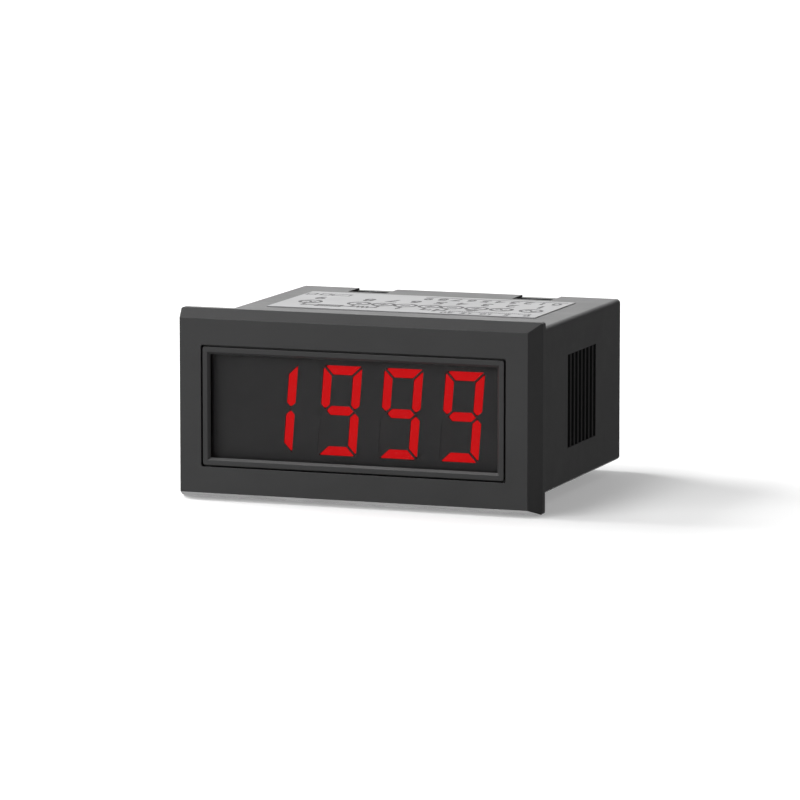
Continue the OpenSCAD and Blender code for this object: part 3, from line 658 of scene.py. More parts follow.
def core_steel():
    """Stacked steel sheets: fine lines on the cut edges, varnished sheet on the faces."""
    finish = Finish("core_steel")
    sheet = 0.5
    _, y, _ = finish.axes()
    _, ny, _ = finish.facing()
    gap = y.repeat(sheet).under(0.035, 0.03)
    cut = 1.0 - ny.size()
    rust = finish.noise(0.7, 5.0, 0.7).over(0.68, 0.05)
    varnish = finish.noise(0.25, 3.0)
    steel = finish.blend(rust * cut, (0.2, 0.205, 0.21), (0.1, 0.06, 0.04))
    finish.bump(gap * cut, -0.08, 0.05)
    return finish.set(Base_Color=finish.shade(steel, (0.8 + varnish * 0.35) * (1.0 - gap * cut * 0.7)),
                      Metallic=0.75 - rust * cut * 0.6, Roughness=0.38 + varnish * 0.15 + rust * 0.2)


def coil_tape():
    """Amber tape wound in overlapping turns over the wire, whose ribs show through."""
    finish = Finish("coil_tape")
    wire_pitch, tape_width = 0.24, 4.2
    _, _, z = finish.axes()
    wire = z.repeat(wire_pitch) * 8.0
    lap = finish.noise(0.2, 1.0) * 2.0 + z
    edge = lap.repeat(tape_width).under(0.06, 0.03)
    cloud = finish.noise(0.4, 3.0)
    finish.bump(wire * 0.4 + edge, 0.03, 0.1)
    amber = finish.blend(cloud, (0.5, 0.24, 0.035), (0.62, 0.34, 0.06))
    return finish.set(Base_Color=finish.shade(amber, 0.82 + wire * 0.15 - edge * 0.35),
                      Roughness=0.22 + cloud * 0.1, Coat_Weight=0.4 + cloud * 0.1)


def capacitor_sleeve(name):
    """Shrunk sleeve with a pale stripe of minus signs, round a bare aluminium top scored with a cross."""
    finish = Finish("sleeve_of_" + name)
    bare_r, bare_depth, cross_r, cross_half = 3.05, 0.6, 2.4, 0.12
    stripe_half, dash_pitch, dash_half, dash_reach = 0.85, 3.4, 0.28, 0.5
    centre = middle(name)
    x, y, z = finish.axes((centre.x, centre.y, ends(name)[1].z))
    r = finish.radius(x, y)
    top = r.under(bare_r, 0.03) * z.over(-bare_depth, 0.02)
    cross = x.size().least(y.size()).under(cross_half, 0.04) * r.under(cross_r)
    stripe = x.size().under(stripe_half, 0.03) * y.over(1.0)
    dash = (z.repeat(dash_pitch).under(dash_half, 0.03) * x.size().under(dash_reach, 0.03)) * stripe
    shrink = finish.noise(0.8, 3.0, place=finish.squeezed(1.0, 1.0, 0.15))
    brushed = r.repeat(0.12) * 10.0
    navy = finish.blend(stripe - dash, (0.012, 0.022, 0.075), (0.42, 0.46, 0.55))
    skin = finish.blend(top, finish.shade(navy, 0.85 + shrink * 0.3), (0.75, 0.75, 0.76))
    finish.bump(shrink * 0.6 - cross * top * 2.0 + brushed * top * 0.1, 0.03, 0.12)
    # Painted shade: the scored cross is painted half as dark, for the shade in its grooves.
    return finish.set(Base_Color=finish.shade(skin, 1.0 - cross * top * 0.5), Metallic=top,
                      Roughness=0.24 + shrink * 0.1 + top * 0.1)


def film_epoxy():
    """Dipped epoxy with an orange-peel skin."""
    finish = Finish("film_epoxy")
    peel = finish.noise(1.2, 2.0)
    pin_holes = finish.cells(1.6).under(0.07, 0.03)
    finish.bump(peel - pin_holes, 0.06, 0.3)
    return finish.set(Base_Color=finish.shade((0.34, 0.035, 0.02), 0.85 + peel * 0.3),
                      Roughness=0.18 + peel * 0.12, Coat_Weight=0.5 - pin_holes * 0.3)


RESISTOR_BANDS = (
    (-2.35, (0.09, 0.03, 0.012)), (-1.25, (0.004, 0.004, 0.004)), (-0.3, (0.5, 0.1, 0.008)),
    (0.65, (0.35, 0.012, 0.01)), (2.3, (0.55, 0.33, 0.06)),
)
RESISTOR_ROW_Y = 36.54
RESISTOR_PITCH = 9.5        # along that row
RESISTOR_REACH = 4.35       # from a resistor's middle to the end of its wire
RESISTOR_BODY_HALF = 3.17
RESISTOR_BAND_HALF = 0.29
RESISTOR_R = 1.1
RESISTOR_LEAD_R = 0.45


def resistor_lacquer():
    """Tan lacquer with five colour bands on each body, and tinned wire beyond it."""
    finish = Finish("resistor_lacquer")
    low, high = ends("resistors")
    first = low.x + RESISTOR_REACH
    second = first + RESISTOR_PITCH
    third_x, third_y = high.x - RESISTOR_R, middle("supply_capacitor_1").y
    x, y, z = finish.axes()
    in_row = y.over(RESISTOR_ROW_Y - RESISTOR_R - 0.24, 0.01)
    near_second = x.over((first + second) / 2, 0.01)
    along_row = (x - first) * (1.0 - near_second) + (x - second) * near_second
    along = along_row * in_row + (y - third_y) * (1.0 - in_row)
    off_row = (y - RESISTOR_ROW_Y) * in_row + (x - third_x) * (1.0 - in_row)
    height = z - (low.z + RESISTOR_R)
    r = finish.radius(off_row, height)
    body = along.size().under(RESISTOR_BODY_HALF, 0.02) * r.over(RESISTOR_LEAD_R, 0.02)
    skin = (0.42, 0.27, 0.13)
    for place, paint in RESISTOR_BANDS:
        skin = finish.blend((along - place).size().under(RESISTOR_BAND_HALF, 0.03), skin, paint)
    cloud = finish.noise(1.5, 3.0)
    finish.bump(cloud, 0.02, 0.08)
    colour = finish.blend(body, (0.7, 0.7, 0.68), skin)
    return finish.set(Base_Color=finish.shade(colour, 0.88 + cloud * 0.24), Metallic=1.0 - body,
                      Roughness=0.22 + cloud * 0.14)


def trimmer_body():
    """Blue thermoset body with a parting line half way along it."""
    finish, grain, cloud, worn = moulded("trimmer_body", 6.0, 0.5, 0.12)
    parting = 46.2
    _, y, _ = finish.axes()
    seam = (y - parting).size().under(0.05, 0.03)
    finish.bump(grain * 0.3 + seam, 0.02, 0.12)
    blue = finish.shade((0.016, 0.075, 0.33), 0.84 + cloud * 0.25 + worn * 0.5 - seam * 0.3)
    return finish.set(Base_Color=blue, Roughness=0.32 + grain * 0.12)


def rotor_plastic():
    """Ivory rotor with grime in its slot."""
    finish = Finish("rotor_plastic")
    rotor_face = 48.65
    grain = spark_grain(finish, 6.0)
    worn = finish.worn_edges(0.1)
    _, y, _ = finish.axes()
    slot = y.under(rotor_face, 0.03)
    grime = finish.noise(1.2, 4.0) * slot
    finish.bump(grain, 0.006, 0.08)
    return finish.set(Base_Color=finish.shade((0.72, 0.68, 0.58), 0.98 - grime * 0.5 + worn * 0.05),
                      Roughness=0.36 + grain * 0.12)


def block_plastic():
    """Glass-filled plastic of the terminal block, with fibres showing in its skin."""
    finish, grain, cloud, worn = moulded("block_plastic", 6.0, 0.15, 0.1)
    fibres = finish.noise(3.0, 2.0, place=finish.squeezed(4.0, 0.5, 1.0)).over(0.62, 0.05)
    finish.bump(grain + fibres * 0.5, 0.008, 0.07)
    black = finish.shade((0.021, 0.022, 0.024), 0.85 + cloud * 0.2 + fibres * 0.3 + worn * 0.4)
    return finish.set(Base_Color=black, Roughness=0.46 + grain * 0.12 - fibres * 0.06)


def contact_brass():
    """Brass with rolling lines and patches of tarnish."""
    finish = Finish("contact_brass")
    rolled = finish.noise(5.0, 3.0, place=finish.squeezed(0.3, 1.0, 4.0))
    tarnish = finish.noise(0.6, 4.0, 0.65)
    worn = finish.worn_edges(0.1)
    finish.bump(rolled, 0.005, 0.06)
    brass = finish.blend(tarnish.over(0.5, 0.2), (0.72, 0.53, 0.22), (0.5, 0.35, 0.15))
    return finish.set(Base_Color=finish.shade(brass, 0.9 + rolled * 0.15 + worn * 0.2), Metallic=1.0,
                      Roughness=0.24 + tarnish * 0.2 + rolled * 0.05)


SCREW_ROW = -4.0            # height of the terminal screws
SCREW_RECESS_FLOOR = 50.4   # distance of their recesses behind the bezel's face


def plated_steel(name):
    """Zinc plate over turned steel: rings round the screw's middle, darker and rougher low in the recess."""
    finish = Finish("zinc_of_" + name)
    recess_r, recess_depth, ring_pitch = 1.9, 0.3, 0.16
    x, y, z = finish.axes((middle(name).x, SCREW_RECESS_FLOOR, SCREW_ROW))
    r = finish.radius(x, z)
    rings = (r + finish.noise(0.5) * 0.1).repeat(ring_pitch) * 10.0
    blotch = finish.noise(0.7, 4.0, 0.6)
    scratch = finish.noise(4.0, 4.0, 0.7, finish.squeezed(3.0, 1.0, 0.6)).over(0.62, 0.03)
    deep = y.under(0.85, 0.1) * y.over(-recess_depth, 0.1) * r.under(recess_r)
    worn = finish.worn_edges(0.1)
    finish.bump(rings * 0.5 + scratch * 0.6, 0.004, 0.06)
    zinc = finish.blend(blotch.over(0.55, 0.15), (0.62, 0.63, 0.64), (0.5, 0.51, 0.54))
    tone = (0.9 + worn * 0.25 + rings * 0.04) * (1.0 - deep * 0.5)
    return finish.set(Base_Color=finish.shade(zinc, tone), Metallic=1.0,
                      Roughness=0.24 + blotch * 0.18 + scratch * 0.1 + deep * 0.2)


def clothe(material, *names):
    for name in names:
        coat(nodes[name].data, material)


def dress_nodes(case, board, tin):
    clothe(case, "case", "front_frame", "rear_cover")
    clothe(block_plastic(), "terminal_block")
    clothe(label_foil(), "top_label")
    clothe(smoked_filter(), "filter_window")
    clothe(digit_cell_paint(), *numbered("digit_cell", CELLS))
    clothe(lit_bar(), *numbered("lit_bars", CELLS))
    clothe(dark_bar(), *numbered("dark_bars", CELLS))
    clothe(board, "display_board", "main_board", "terminal_board")
    clothe(chip_epoxy(), "converter_chip", "bridge_rectifier")
    clothe(connector_plastic(), "front_connector", "rear_connector")
    clothe(tin, "front_pins", "rear_pins", "chip_legs")
    clothe(core_steel(), "transformer_core")
    clothe(coil_tape(), "transformer_coil")
    for name in numbered("supply_capacitor", (1, 2)):
        clothe(capacitor_sleeve(name), name)
    clothe(film_epoxy(), "film_capacitor")
    clothe(resistor_lacquer(), "resistors")
    clothe(trimmer_body(), "zero_trimmer", "span_trimmer")
    clothe(rotor_plastic(), "zero_rotor", "span_rotor")
    clothe(contact_brass(), *numbered("contact_plate", TERMINALS))
    for k in TERMINALS:
        steel = plated_steel(f"terminal_screw_{k}")
        clothe(steel, f"terminal_screw_{k}", f"clamp_washer_{k}")


# ---------------------------------------------------------------- printed and moulded marks

def wave(art, a, b, wide, high, width):
    """One full turn of an alternating current's sign."""
    steps = 14
    turns = [i / steps for i in range(steps + 1)]
    art.stroke([(a + wide * (t - 0.5), b + high / 2 * math.sin(2 * math.pi * t)) for t in turns], width)


def zigzag(art, a, b, wide, high, width):
    """A resistor between its two ends."""
    teeth = 6
    points = [(a - wide / 2, b)]
    for i in range(teeth):
        points.append((a + wide * ((i + 0.5) / teeth - 0.5), b + high / 2 * (-1) ** i))
    art.stroke(points + [(a + wide / 2, b)], width)


LABEL_LINE = 0.62
LABEL_RING_R = 2.1
RING_ROW, LEAD_ROW, NUMBER_ROW, STRIP_ROW, SCALE_ROW = 3.0, 7.9, -3.1, -8.4, 7.8
RING_SPOTS = (-23.25, -17.25, -12.25, -7.25, -2.75, 2.25, 6.75, 11.75, 21.75)
SCALE_START = -24.8


def print_rings(art):
    """The label's nine numbered terminals, each with its sign."""
    sign, thin = 2.0, LABEL_LINE * 0.8
    for number, a in enumerate(RING_SPOTS, 1):
        art.ring(a, RING_ROW, LABEL_RING_R, LABEL_LINE)
        art.figures(str(number), a, NUMBER_ROW, 3.5)
    for i in (0, 1, 8):
        wave(art, RING_SPOTS[i], RING_ROW, 2.2, 1.6, thin)
    for i in (2, 4, 6):
        art.plus(RING_SPOTS[i], RING_ROW, sign, thin)
    for i in (3, 5):
        art.minus(RING_SPOTS[i], RING_ROW, sign, LABEL_LINE)
    art.dot(RING_SPOTS[7], RING_ROW, 0.6)


def print_leads(art):
    """What the terminals are wired to: earth, a battery, an arrow, a resistor and a fuse."""
    line, row = LABEL_LINE, LEAD_ROW
    top = RING_ROW + LABEL_RING_R
    earth, minus, plus, free, left, right, last = RING_SPOTS[2:]
    art.stroke([(earth, top), (earth, top + 0.5)], line)
    for i in range(3):
        art.minus(earth, top + 0.6 + i * 0.7, 2.6 - i * 0.8, line * 0.6)
    battery = (minus + plus) / 2
    for a, side in ((minus, -1), (plus, 1)):
        plate = battery + side * 0.6
        reach = 1.25 - side * 0.45
        art.stroke([(a, top), (a, row), (plate, row)], line)
        art.stroke([(plate, row - reach), (plate, row + reach)], line * (0.9 - side * 0.25))
    art.stroke([(free, top), (free, row - 0.4)], line)
    art.arrow(free, row, 90, 1.0)

    load, load_half = (left + right) / 2, 1.4
    art.stroke([(left, top), (left, row), (load - load_half, row)], line)
    zigzag(art, load, row, 2 * load_half, 1.8, line * 0.7)
    art.stroke([(load + load_half, row), (right, row)], line)
    fuse, fuse_half = right + 4.4, 2.4
    art.stroke([(right, top), (right, row), (fuse - fuse_half, row)], line)
    art.box(fuse, row, 2 * fuse_half, 2.0, line)
    art.stroke([(fuse - 2.2, row), (fuse + 2.2, row)], line)
    art.stroke([(fuse + fuse_half, row), (last, row), (last, top)], line)
    for a in (left, right):
        art.dot(a, row, 0.42)


def print_strips(art):
    """A strip of plain figures with a line under it, three empty boxes and the ruler's figures."""
    left, step, figures, under = -26.2, 2.9, 10, STRIP_ROW - 2.3
    for number in range(figures):
        art.figures(str(number), left + step * (number + 0.5), STRIP_ROW, 3.0)
    art.stroke([(left, under), (left + step * figures, under)], 0.4)
    for a, wide in ((19.5, 3.6), (22.8, 1.8), (25.7, 1.8)):
        art.box(a, STRIP_ROW, wide, 2.2, 0.32)
    for i in range(5):
        art.figures(str(5 * i), SCALE_START + 4.0 * i, 10.4, 2.0)


def print_ruler(face, ink):
    """The label's ruler: ticks that grow longer at every fifth and tenth."""
    ruler = Growth("label_ruler", Pitch=0.4 * MM, Width=0.2 * MM, Tick=0.75 * MM, Thickness=0.016 * MM,
                   Count=41)
    index = ruler.node("InputIndex", {}, {})
    fifth = index.math("MODULO", 5.0).math("COMPARE", 0.0, 0.1)
    tenth = index.math("MODULO", 10.0).math("COMPARE", 0.0, 0.1)
    step = ruler.vector(ruler.size("Pitch") * -1.0, 0.0, 0.0)
    row = ruler.node("MeshLine", {}, {"Count": ruler.size("Count"), "Offset": step,
                                      "Start Location": face.at(SCALE_START, SCALE_ROW, 0.004)})
    block = ruler.vector(ruler.size("Width"), ruler.size("Tick"), ruler.size("Thickness"))
    bar = ruler.node("MeshCube", {}, {"Size": block})
    foot = ruler.vector(0.0, ruler.size("Tick") * -0.5, 0.0)
    stood = ruler.node("Transform", {}, {"Geometry": bar, "Translation": foot})
    longer = ruler.vector(1.0, fifth * 0.6 + tenth * 0.6 + 1.0, 1.0)
    ticks = ruler.node("InstanceOnPoints", {}, {"Points": row, "Instance": stood, "Scale": longer})
    settle(ruler.grow(ticks, ink), "label_ruler", HOUSING)


def print_label(ink):
    """The label's print, in ink a hundredth of a millimetre thick."""
    low, high = ends("top_label")
    face = Plane(((low.x + high.x) / 2, (low.y + high.y) / 2, high.z), (-1, 0, 0), (0, -1, 0))
    art = Drawing(face, 0.012, 0.004)
    print_rings(art)
    print_leads(art)
    print_strips(art)
    art.piece("label_print", ink, HOUSING, "label_foil")
    print_ruler(face, ink)


def mark_rear_cover(ink):
    """Raised terminal numbers, and at each screwdriver hole the way to turn it and its end of the scale."""
    dial_r, dial_end, sign_at, sign, line = 3.5, 40, 4.4, 1.6, 0.42
    art = Drawing(Plane((0, ends("rear_cover")[1].y, 0), (-1, 0, 0), (0, 0, 1)), 0.15, 0.05)
    for k in TERMINALS:
        art.figures(str(k), -middle(f"terminal_screw_{k}").x, 1.6, 2.3)
    for rotor, scale_end in (("zero_rotor", "0"), ("span_rotor", "100")):
        hole = middle(rotor)
        a, b = -hole.x, hole.z
        art.arc(a, b, dial_r, 145, 45, 0.36)
        art.arrow(*on_circle(a, b, dial_r, dial_end), dial_end - 90, 0.8)
        art.minus(a - sign_at, b, sign, line)
        art.plus(a + sign_at, b, sign, line)
        art.figures(scale_end, a, b + 5.2, 1.8)
    art.piece("cover_marks", ink, HOUSING, "label_foil")


def mark_case(plastic):
    """Witness marks of the mould under the sleeve: ejector rings and a trimmed gate."""
    label_thickness = 0.12
    underside = label_thickness - ends("top_label")[1].z
    art = Drawing(Plane((0, 0, underside), (1, 0, 0), (0, -1, 0)), 0.04, 0.03)
    for a in (-26.0, 0.0, 26.0):
        for b in (-10.0, -46.0):
            art.ring(a, b, 2.0, 0.16)
    art.ring(0, -28, 1.1, 0.2)
    art.dot(0, -28, 0.45)
    art.piece("case_marks", plastic, HOUSING, "case_plastic")


# ---------------------------------------------------------------- display

def bar_shells(node):
    """A working copy of a cell's bars, with each of their flat sides as one face."""
    work = merged(nodes[node].data, 1e-3)
    bmesh.ops.dissolve_limit(work, angle_limit=math.radians(1), verts=work.verts, edges=work.edges)
    return work


def bar_outlines(node):
    """The front outlines of a cell's bars in millimetres."""
    work = bar_shells(node)
    fronts = [face for face in work.faces if face.normal.y < -0.9]
    outlines = [[(corner.co.x / MM, corner.co.z / MM) for corner in face.verts] for face in fronts]
    work.free()
    return outlines


def mask_display(paint):
    """Matt sheet behind the filter with an opening for every bar, over the joints between the cells."""
    low, high = ends("digit_cell_1")
    gap, thickness, edge, top = 0.02, 0.03, 28.5, high.z + 0.05
    art = Drawing(Plane((0, low.y - gap, 0), (1, 0, 0), (0, 0, 1)), thickness)
    bars = [f"{stem}_{k}" for k in CELLS for stem in ("lit_bars", "dark_bars")]
    art.sheet([(-edge, -top), (edge, -top), (edge, top), (-edge, top)],
              [outline for node in bars for outline in bar_outlines(node)])
    art.piece("display_mask", paint, HOUSING, "cell_plastic")


def blunt_bars(glow):
    """The lit bars a little slimmer than their openings, with blunted tips, as they come out of a mould."""
    tip_angle, blunt, slack = math.radians(70), 0.3 * MM, 0.1 * MM
    for k in CELLS:
        work = bar_shells(f"lit_bars_{k}")
        moves = []
        for corner in work.verts:
            first, second = [face.normal for face in corner.link_faces if abs(face.normal.y) < 0.5]
            moves.append((corner, -slack / (1 + first.dot(second)) * (first + second)))
        for corner, move in moves:
            corner.co += move
        tips = [edge for edge in work.edges
                if abs((edge.verts[0].co - edge.verts[1].co).normalized().y) > 0.99
                and edge.calc_face_angle() > tip_angle]
        bmesh.ops.bevel(work, geom=tips, offset=blunt, segments=2, profile=0.5, affect="EDGES")
        mesh = bpy.data.meshes.new("lit_bars")
        work.to_mesh(mesh)
        work.free()
        coat(mesh, glow)
        bars = add_object(f"blunt_bars_{k}", mesh)
        settle(bars, f"blunt_bars_{k}", HOUSING)
        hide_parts(f"lit_bars_{k}")


# ---------------------------------------------------------------- boards and wiring

LEGS_PER_SIDE = 20
CONNECTOR_PINS = 8
PIN_PITCH = 2.54


def row_of(count, pitch):
    """Places of so many pieces at a pitch, centred on 0."""
    return [(i - (count - 1) / 2) * pitch for i in range(count)]


def solder(name, tin, places, foot, tip, height, turn=(0.0, 0.0, 0.0)):
    """Solder cones on points in millimetres, turned away from their board."""
    joints = Growth(name, Foot=foot * MM, Tip=tip * MM, Height=height * MM, Sides=12)
    cone = joints.node("MeshCone", {}, {"Vertices": joints.size("Sides"), "Radius Top": joints.size("Tip"),
                                        "Radius Bottom": joints.size("Foot"), "Depth": joints.size("Height")})
    turned = joints.node("Transform", {}, {"Geometry": cone, "Rotation": turn})
    spread = joints.node("InstanceOnPoints", {}, {"Points": joints.size("Places"), "Instance": turned})
    settle(joints.grow(spread, tin, [Vector(place) * MM for place in places]), name, HOUSING)


def solder_boards(tin):
    """Solder at the chip's legs, under the connectors' pins and on the contact plates' tails."""
    low, high = ends("chip_legs")
    board_low, board_high = ends("main_board")
    chip_low, chip_high = ends("converter_chip")
    leg_inset, pin_inset, tail_rise = 0.15, 0.3, 0.4
    legs = row_of(LEGS_PER_SIDE, (chip_high.x - chip_low.x) / LEGS_PER_SIDE)
    feet = [(x, y, board_high.z) for y in (low.y + leg_inset, high.y - leg_inset) for x in legs]
    solder("leg_solder", tin, feet, foot=0.62, tip=0.3, height=0.45)

    under = []
    for name in ("front_pins", "rear_pins"):
        pins_low, pins_high = ends(name)
        y = pins_high.y - pin_inset if name == "front_pins" else pins_low.y + pin_inset
        centre = (pins_low.x + pins_high.x) / 2
        under += [(centre + x, y, board_low.z) for x in row_of(CONNECTOR_PINS, PIN_PITCH)]
    solder("pin_solder", tin, under, foot=0.85, tip=0.42, height=0.75, turn=(math.pi, 0.0, 0.0))

    front = ends("terminal_board")[0].y
    tails = [(middle(plate).x, front, ends(plate)[0].z + tail_rise)
             for plate in numbered("contact_plate", TERMINALS)]
    solder("tail_solder", tin, tails, foot=0.68, tip=0.6, height=0.8, turn=(math.pi / 2, 0.0, 0.0))


def outline_parts(paint):
    """Printed outlines round what stands on the main board, and the place numbers beside them."""
    line, margin = 0.18, 0.25
    rounds = (("supply_capacitor_1", margin), ("supply_capacitor_2", 0.12), ("bridge_rectifier", 0.3))
    numbers_at = ((-28.6, 24.0), (-0.6, 25.9), (28.3, 24.2), (29.2, 37.2), (-29.4, 8.0), (20.0, 7.6))
    art = Drawing(Plane((0, 0, ends("main_board")[1].z), (1, 0, 0), (0, 1, 0)), 0.02, 0.005)
    for name, clear in rounds:
        spot = middle(name)
        low, high = ends(name)
        art.ring(spot.x, spot.y, (high.x - low.x) / 2 + clear, line, 40)
    for name in ("converter_chip", "transformer_core", "film_capacitor"):
        spot = middle(name)
        low, high = ends(name)
        art.box(spot.x, spot.y, high.x - low.x + 2 * margin, high.y - low.y + 2 * margin, line)
    for number, (a, b) in enumerate(numbers_at, 1):
        art.figures(str(number), a, b, 1.3)
    art.piece("board_print", paint, HOUSING, "board_laminate")


def mark_chip(epoxy):
    """Mould rings at the chip's ends and the dot by its first leg."""
    low, high = ends("converter_chip")
    ring_inset, first_leg = 7.0, 2.2
    art = Drawing(Plane((0, 0, high.z), (1, 0, 0), (0, 1, 0)), 0.03, 0.01)
    for x in (low.x + ring_inset, high.x - ring_inset):
        art.ring(x, (low.y + high.y) / 2, 1.5, 0.14)
    art.ring(low.x + first_leg, low.y + first_leg, 0.6, 0.16)
    art.piece("chip_marks", epoxy, HOUSING, "chip_epoxy")


def rivet_core(tin):
    """Rolled rivets that clamp the transformer's sheets."""
    low, high = ends("transformer_core")
    inset, y = 3.611 / 2, (low.y + high.y) / 2
    places = [Vector((x, y, z)) * MM
              for x in (low.x + inset, high.x - inset) for z in (low.z + inset, high.z - inset)]
    rivets = Growth("core_rivets", Shank=0.82 * MM, Head=1.35 * MM, HeadHeight=0.5 * MM,
                    Length=(high.y - low.y) * MM, Sides=20)
    sides, length, shank_r = rivets.size("Sides"), rivets.size("Length"), rivets.size("Shank")
    shank = rivets.node("MeshCylinder", {}, {"Vertices": sides, "Radius": shank_r, "Depth": length})
    head = rivets.node("MeshCone", {}, {
        "Vertices": sides, "Radius Top": shank_r,
        "Radius Bottom": rivets.size("Head"), "Depth": rivets.size("HeadHeight")})
    half = length * 0.5
    above = rivets.node("Transform", {}, {"Geometry": head, "Translation": rivets.vector(0.0, 0.0, half)})
    below = rivets.node("Transform", {}, {"Geometry": head, "Rotation": (math.pi, 0.0, 0.0),
                                          "Translation": rivets.vector(0.0, 0.0, half * -1.0)})
    joined = rivets.node("JoinGeometry", {}, {0: shank})
    for end in (above, below):
        rivets.put(joined.socket.node.inputs[0], end)
    lying = rivets.node("Transform", {}, {"Geometry": joined, "Rotation": (math.pi / 2, 0.0, 0.0)})
    spread = rivets.node("InstanceOnPoints", {}, {"Points": rivets.size("Places"), "Instance": lying})
    settle(rivets.grow(spread, tin, places), "core_rivets", HOUSING)


def wire_enamel():
    """Varnished copper wire."""
    finish = Finish("wire_enamel")
    cloud = finish.noise(1.2, 3.0)
    finish.bump(cloud, 0.01)
    copper = finish.blend(cloud, (0.55, 0.16, 0.05), (0.72, 0.27, 0.1))
    return finish.set(Base_Color=copper, Metallic=0.9, Roughness=0.2 + cloud * 0.12, Coat_Weight=0.3)


def draw_wires(name, enamel, paths, radius):
    """Round wires along smooth paths in millimetres, as one closed mesh."""
    curve = bpy.data.curves.new(name, "CURVE")
    curve.dimensions = "3D"
    curve.bevel_depth = radius * MM
    curve.bevel_resolution = 2
    curve.resolution_u = 6
    curve.use_fill_caps = True
    for path in paths:
        spline = curve.splines.new("BEZIER")
        spline.bezier_points.add(len(path) - 1)
        for point, place in zip(spline.bezier_points, path):
            point.co = Vector(place) * MM
            point.handle_left_type = point.handle_right_type = "AUTO"
    holder = add_object(name, curve)
    mesh = plain_mesh(holder)
    bpy.data.objects.remove(holder)
    bpy.data.curves.remove(curve)
    coat(mesh, enamel)
    close_seams(mesh)
    settle(add_object(name, mesh), name, HOUSING)


def lead_out_coil():
    """Wires that leave the winding at its front and go down into the main board."""
    low, high = ends("transformer_coil")
    board_top = ends("main_board")[1].z
    y, start_z = low.y, low.z + 1.2
    paths = []
    for x, lean in ((low.x + 2.4, -0.5), (low.x + 4.2, 0.3), (high.x - 4.6, -0.3), (high.x - 2.6, 0.6)):
        paths.append([(x, y + 0.5, start_z), (x + lean * 0.3, y - 0.45, start_z - 0.4),
                      (x + lean, y - 0.75, (start_z + board_top) / 2),
                      (x + lean * 1.2, y - 0.7, board_top - 0.3)])
    draw_wires("coil_leads", wire_enamel(), paths, 0.22)


def cut_threads():
    """A fine ridge winds round each terminal screw."""
    pitch, point, under_head = 0.5, 0.5, 0.2
    for k in TERMINALS:
        screw = f"terminal_screw_{k}"
        shank = middle(screw)
        start = ends(screw)[0].y + point
        length = ends(f"clamp_washer_{k}")[1].y - under_head - start
        thread = Growth(f"screw_thread_{k}", Radius=1.46 * MM, Ridge=0.09 * MM, Length=length * MM,
                        Turns=length / pitch, Around=18)
        radius = thread.size("Radius")
        helix = thread.node("CurveSpiral", {}, {
            "Resolution": thread.size("Around"), "Rotations": thread.size("Turns"),
            "Start Radius": radius, "End Radius": radius, "Height": thread.size("Length")})
        ridge = thread.node("CurvePrimitiveCircle", {}, {"Resolution": 4, "Radius": thread.size("Ridge")})
        wound = thread.node("CurveToMesh", {}, {0: helix, 1: ridge, "Fill Caps": True})
        placed = thread.node("Transform", {}, {"Geometry": wound, "Rotation": (-math.pi / 2, 0.0, 0.0),
                                               "Translation": Vector((shank.x, start, shank.z)) * MM})
        made = thread.grow(placed, nodes[screw].data.materials[0])
        settle(made, f"screw_thread_{k}", f"screw_{k}")


# ---------------------------------------------------------------- studio

LAMPS = {
    # azimuth, elevation, distance in metres, width and height in metres, watts
    "back_lamp": (-160, 14, 2.0, 2.0, 0.8, 9.3),
    "front_lamp": (-35, 25, 1.6, 1.0, 1.0, 15.5),
    "top_lamp": (-67, 69, 1.4, 0.5, 0.5, 5.5),
    "left_lamp": (-100, 30, 1.6, 1.0, 1.0, 33),
    "under_lamp": (-159, -24, 1.4, 1.0, 0.8, 5.6),
}
WORLD_STRENGTH = 0.17
FLOOR_SIZE, FLOOR_BACK = 12.0, 3.0
CAMERA_TARGET = (7.368, 0.0, 2.052)
CAMERA_AZIMUTH, CAMERA_ELEVATION = 19.789, 8.013
CAMERA_DISTANCE = 1.0235
CAMERA_LENS = 246.2


def direction(azimuth, elevation):
    """A way out from the meter, at an azimuth that is 0 in front and 90 at its right."""
    turn, rise = math.radians(azimuth), math.radians(elevation)
    return Vector((math.sin(turn) * math.cos(rise), -math.cos(turn) * math.cos(rise), math.sin(rise)))


def aim(thing, centre, away, distance):
    """Sets a camera or lamp at a distance from a centre, looking back at it."""
    thing.location = centre + away * distance
    thing.rotation_euler = away.to_track_quat("Z", "Y").to_euler()


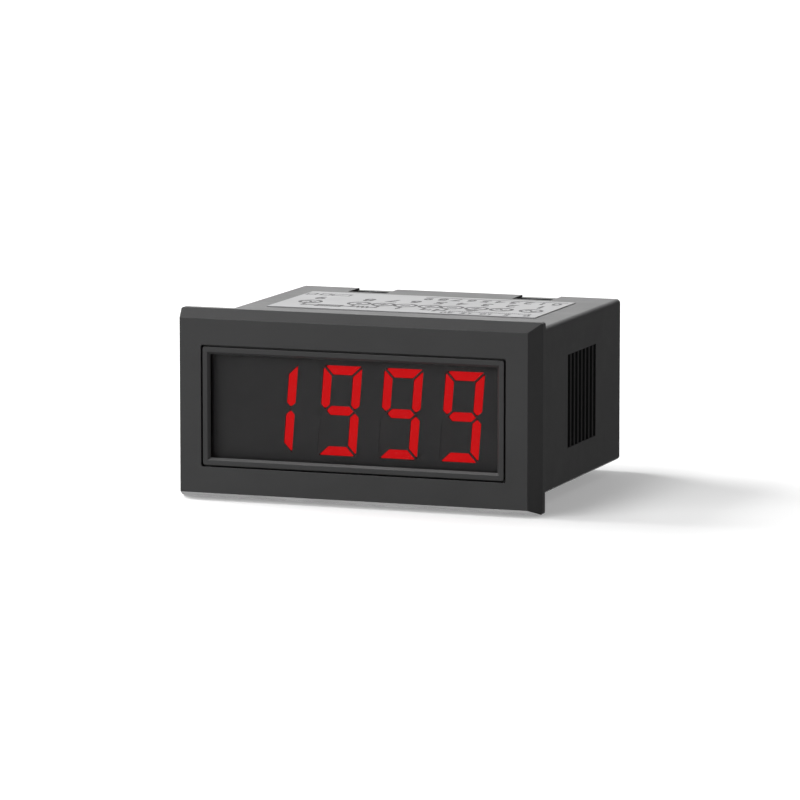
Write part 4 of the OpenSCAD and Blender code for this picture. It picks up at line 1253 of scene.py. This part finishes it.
def add_camera():
    data = bpy.data.cameras.new("camera")
    data.lens = CAMERA_LENS
    data.sensor_width = 36.0
    data.clip_start = 0.02
    camera = add_object("camera", data)
    aim(camera, Vector(CAMERA_TARGET) * MM, direction(CAMERA_AZIMUTH, CAMERA_ELEVATION), CAMERA_DISTANCE)
    bpy.context.scene.camera = camera


def add_floor():
    """A plain sheet of pale paper that glows a little, so that shadows on it stay soft."""
    bpy.ops.mesh.primitive_plane_add(size=FLOOR_SIZE, location=(0, FLOOR_BACK, cad_low.z))
    floor = bpy.context.object
    floor.name = "floor"
    finish = Finish("floor_paper")
    fibre = 0.99 + finish.noise(0.02, 2.0) * 0.02
    finish.set(Base_Color=finish.shade((0.8, 0.8, 0.8), fibre), Roughness=0.9,
               Emission_Color=finish.shade((1.0, 1.0, 1.0), fibre), Emission_Strength=0.28)
    floor.data.materials.append(finish.material)
    floor.visible_glossy = False
    floor.visible_shadow = False


def add_lights():
    """Soft rectangular lamps and an even white surround."""
    for name, (azimuth, elevation, distance, width, height, watts) in LAMPS.items():
        data = bpy.data.lights.new(name, "AREA")
        data.shape = "RECTANGLE"
        data.size, data.size_y = width, height
        data.energy = watts
        aim(add_object(name, data), (cad_low + cad_high) / 2, direction(azimuth, elevation), distance)
    world = bpy.data.worlds.new("studio")
    world.use_nodes = True
    background = world.node_tree.nodes["Background"]
    background.inputs["Color"].default_value = (1, 1, 1, 1)
    background.inputs["Strength"].default_value = WORLD_STRENGTH
    bpy.context.scene.world = world
    bpy.context.scene.view_settings.view_transform = "Standard"


add_camera()
case, board, tin = case_plastic(), board_laminate(), tinned_pins()
dress_nodes(case, board, tin)
print_label(label_ink())
mark_rear_cover(stamped_white())
mark_case(case)
mask_display(nodes["digit_cell_1"].data.materials[0])
blunt_bars(nodes["lit_bars_1"].data.materials[0])
solder_boards(tin)
outline_parts(board_ink())
mark_chip(nodes["converter_chip"].data.materials[0])
rivet_core(tin)
lead_out_coil()
cut_threads()
add_floor()
add_lights()
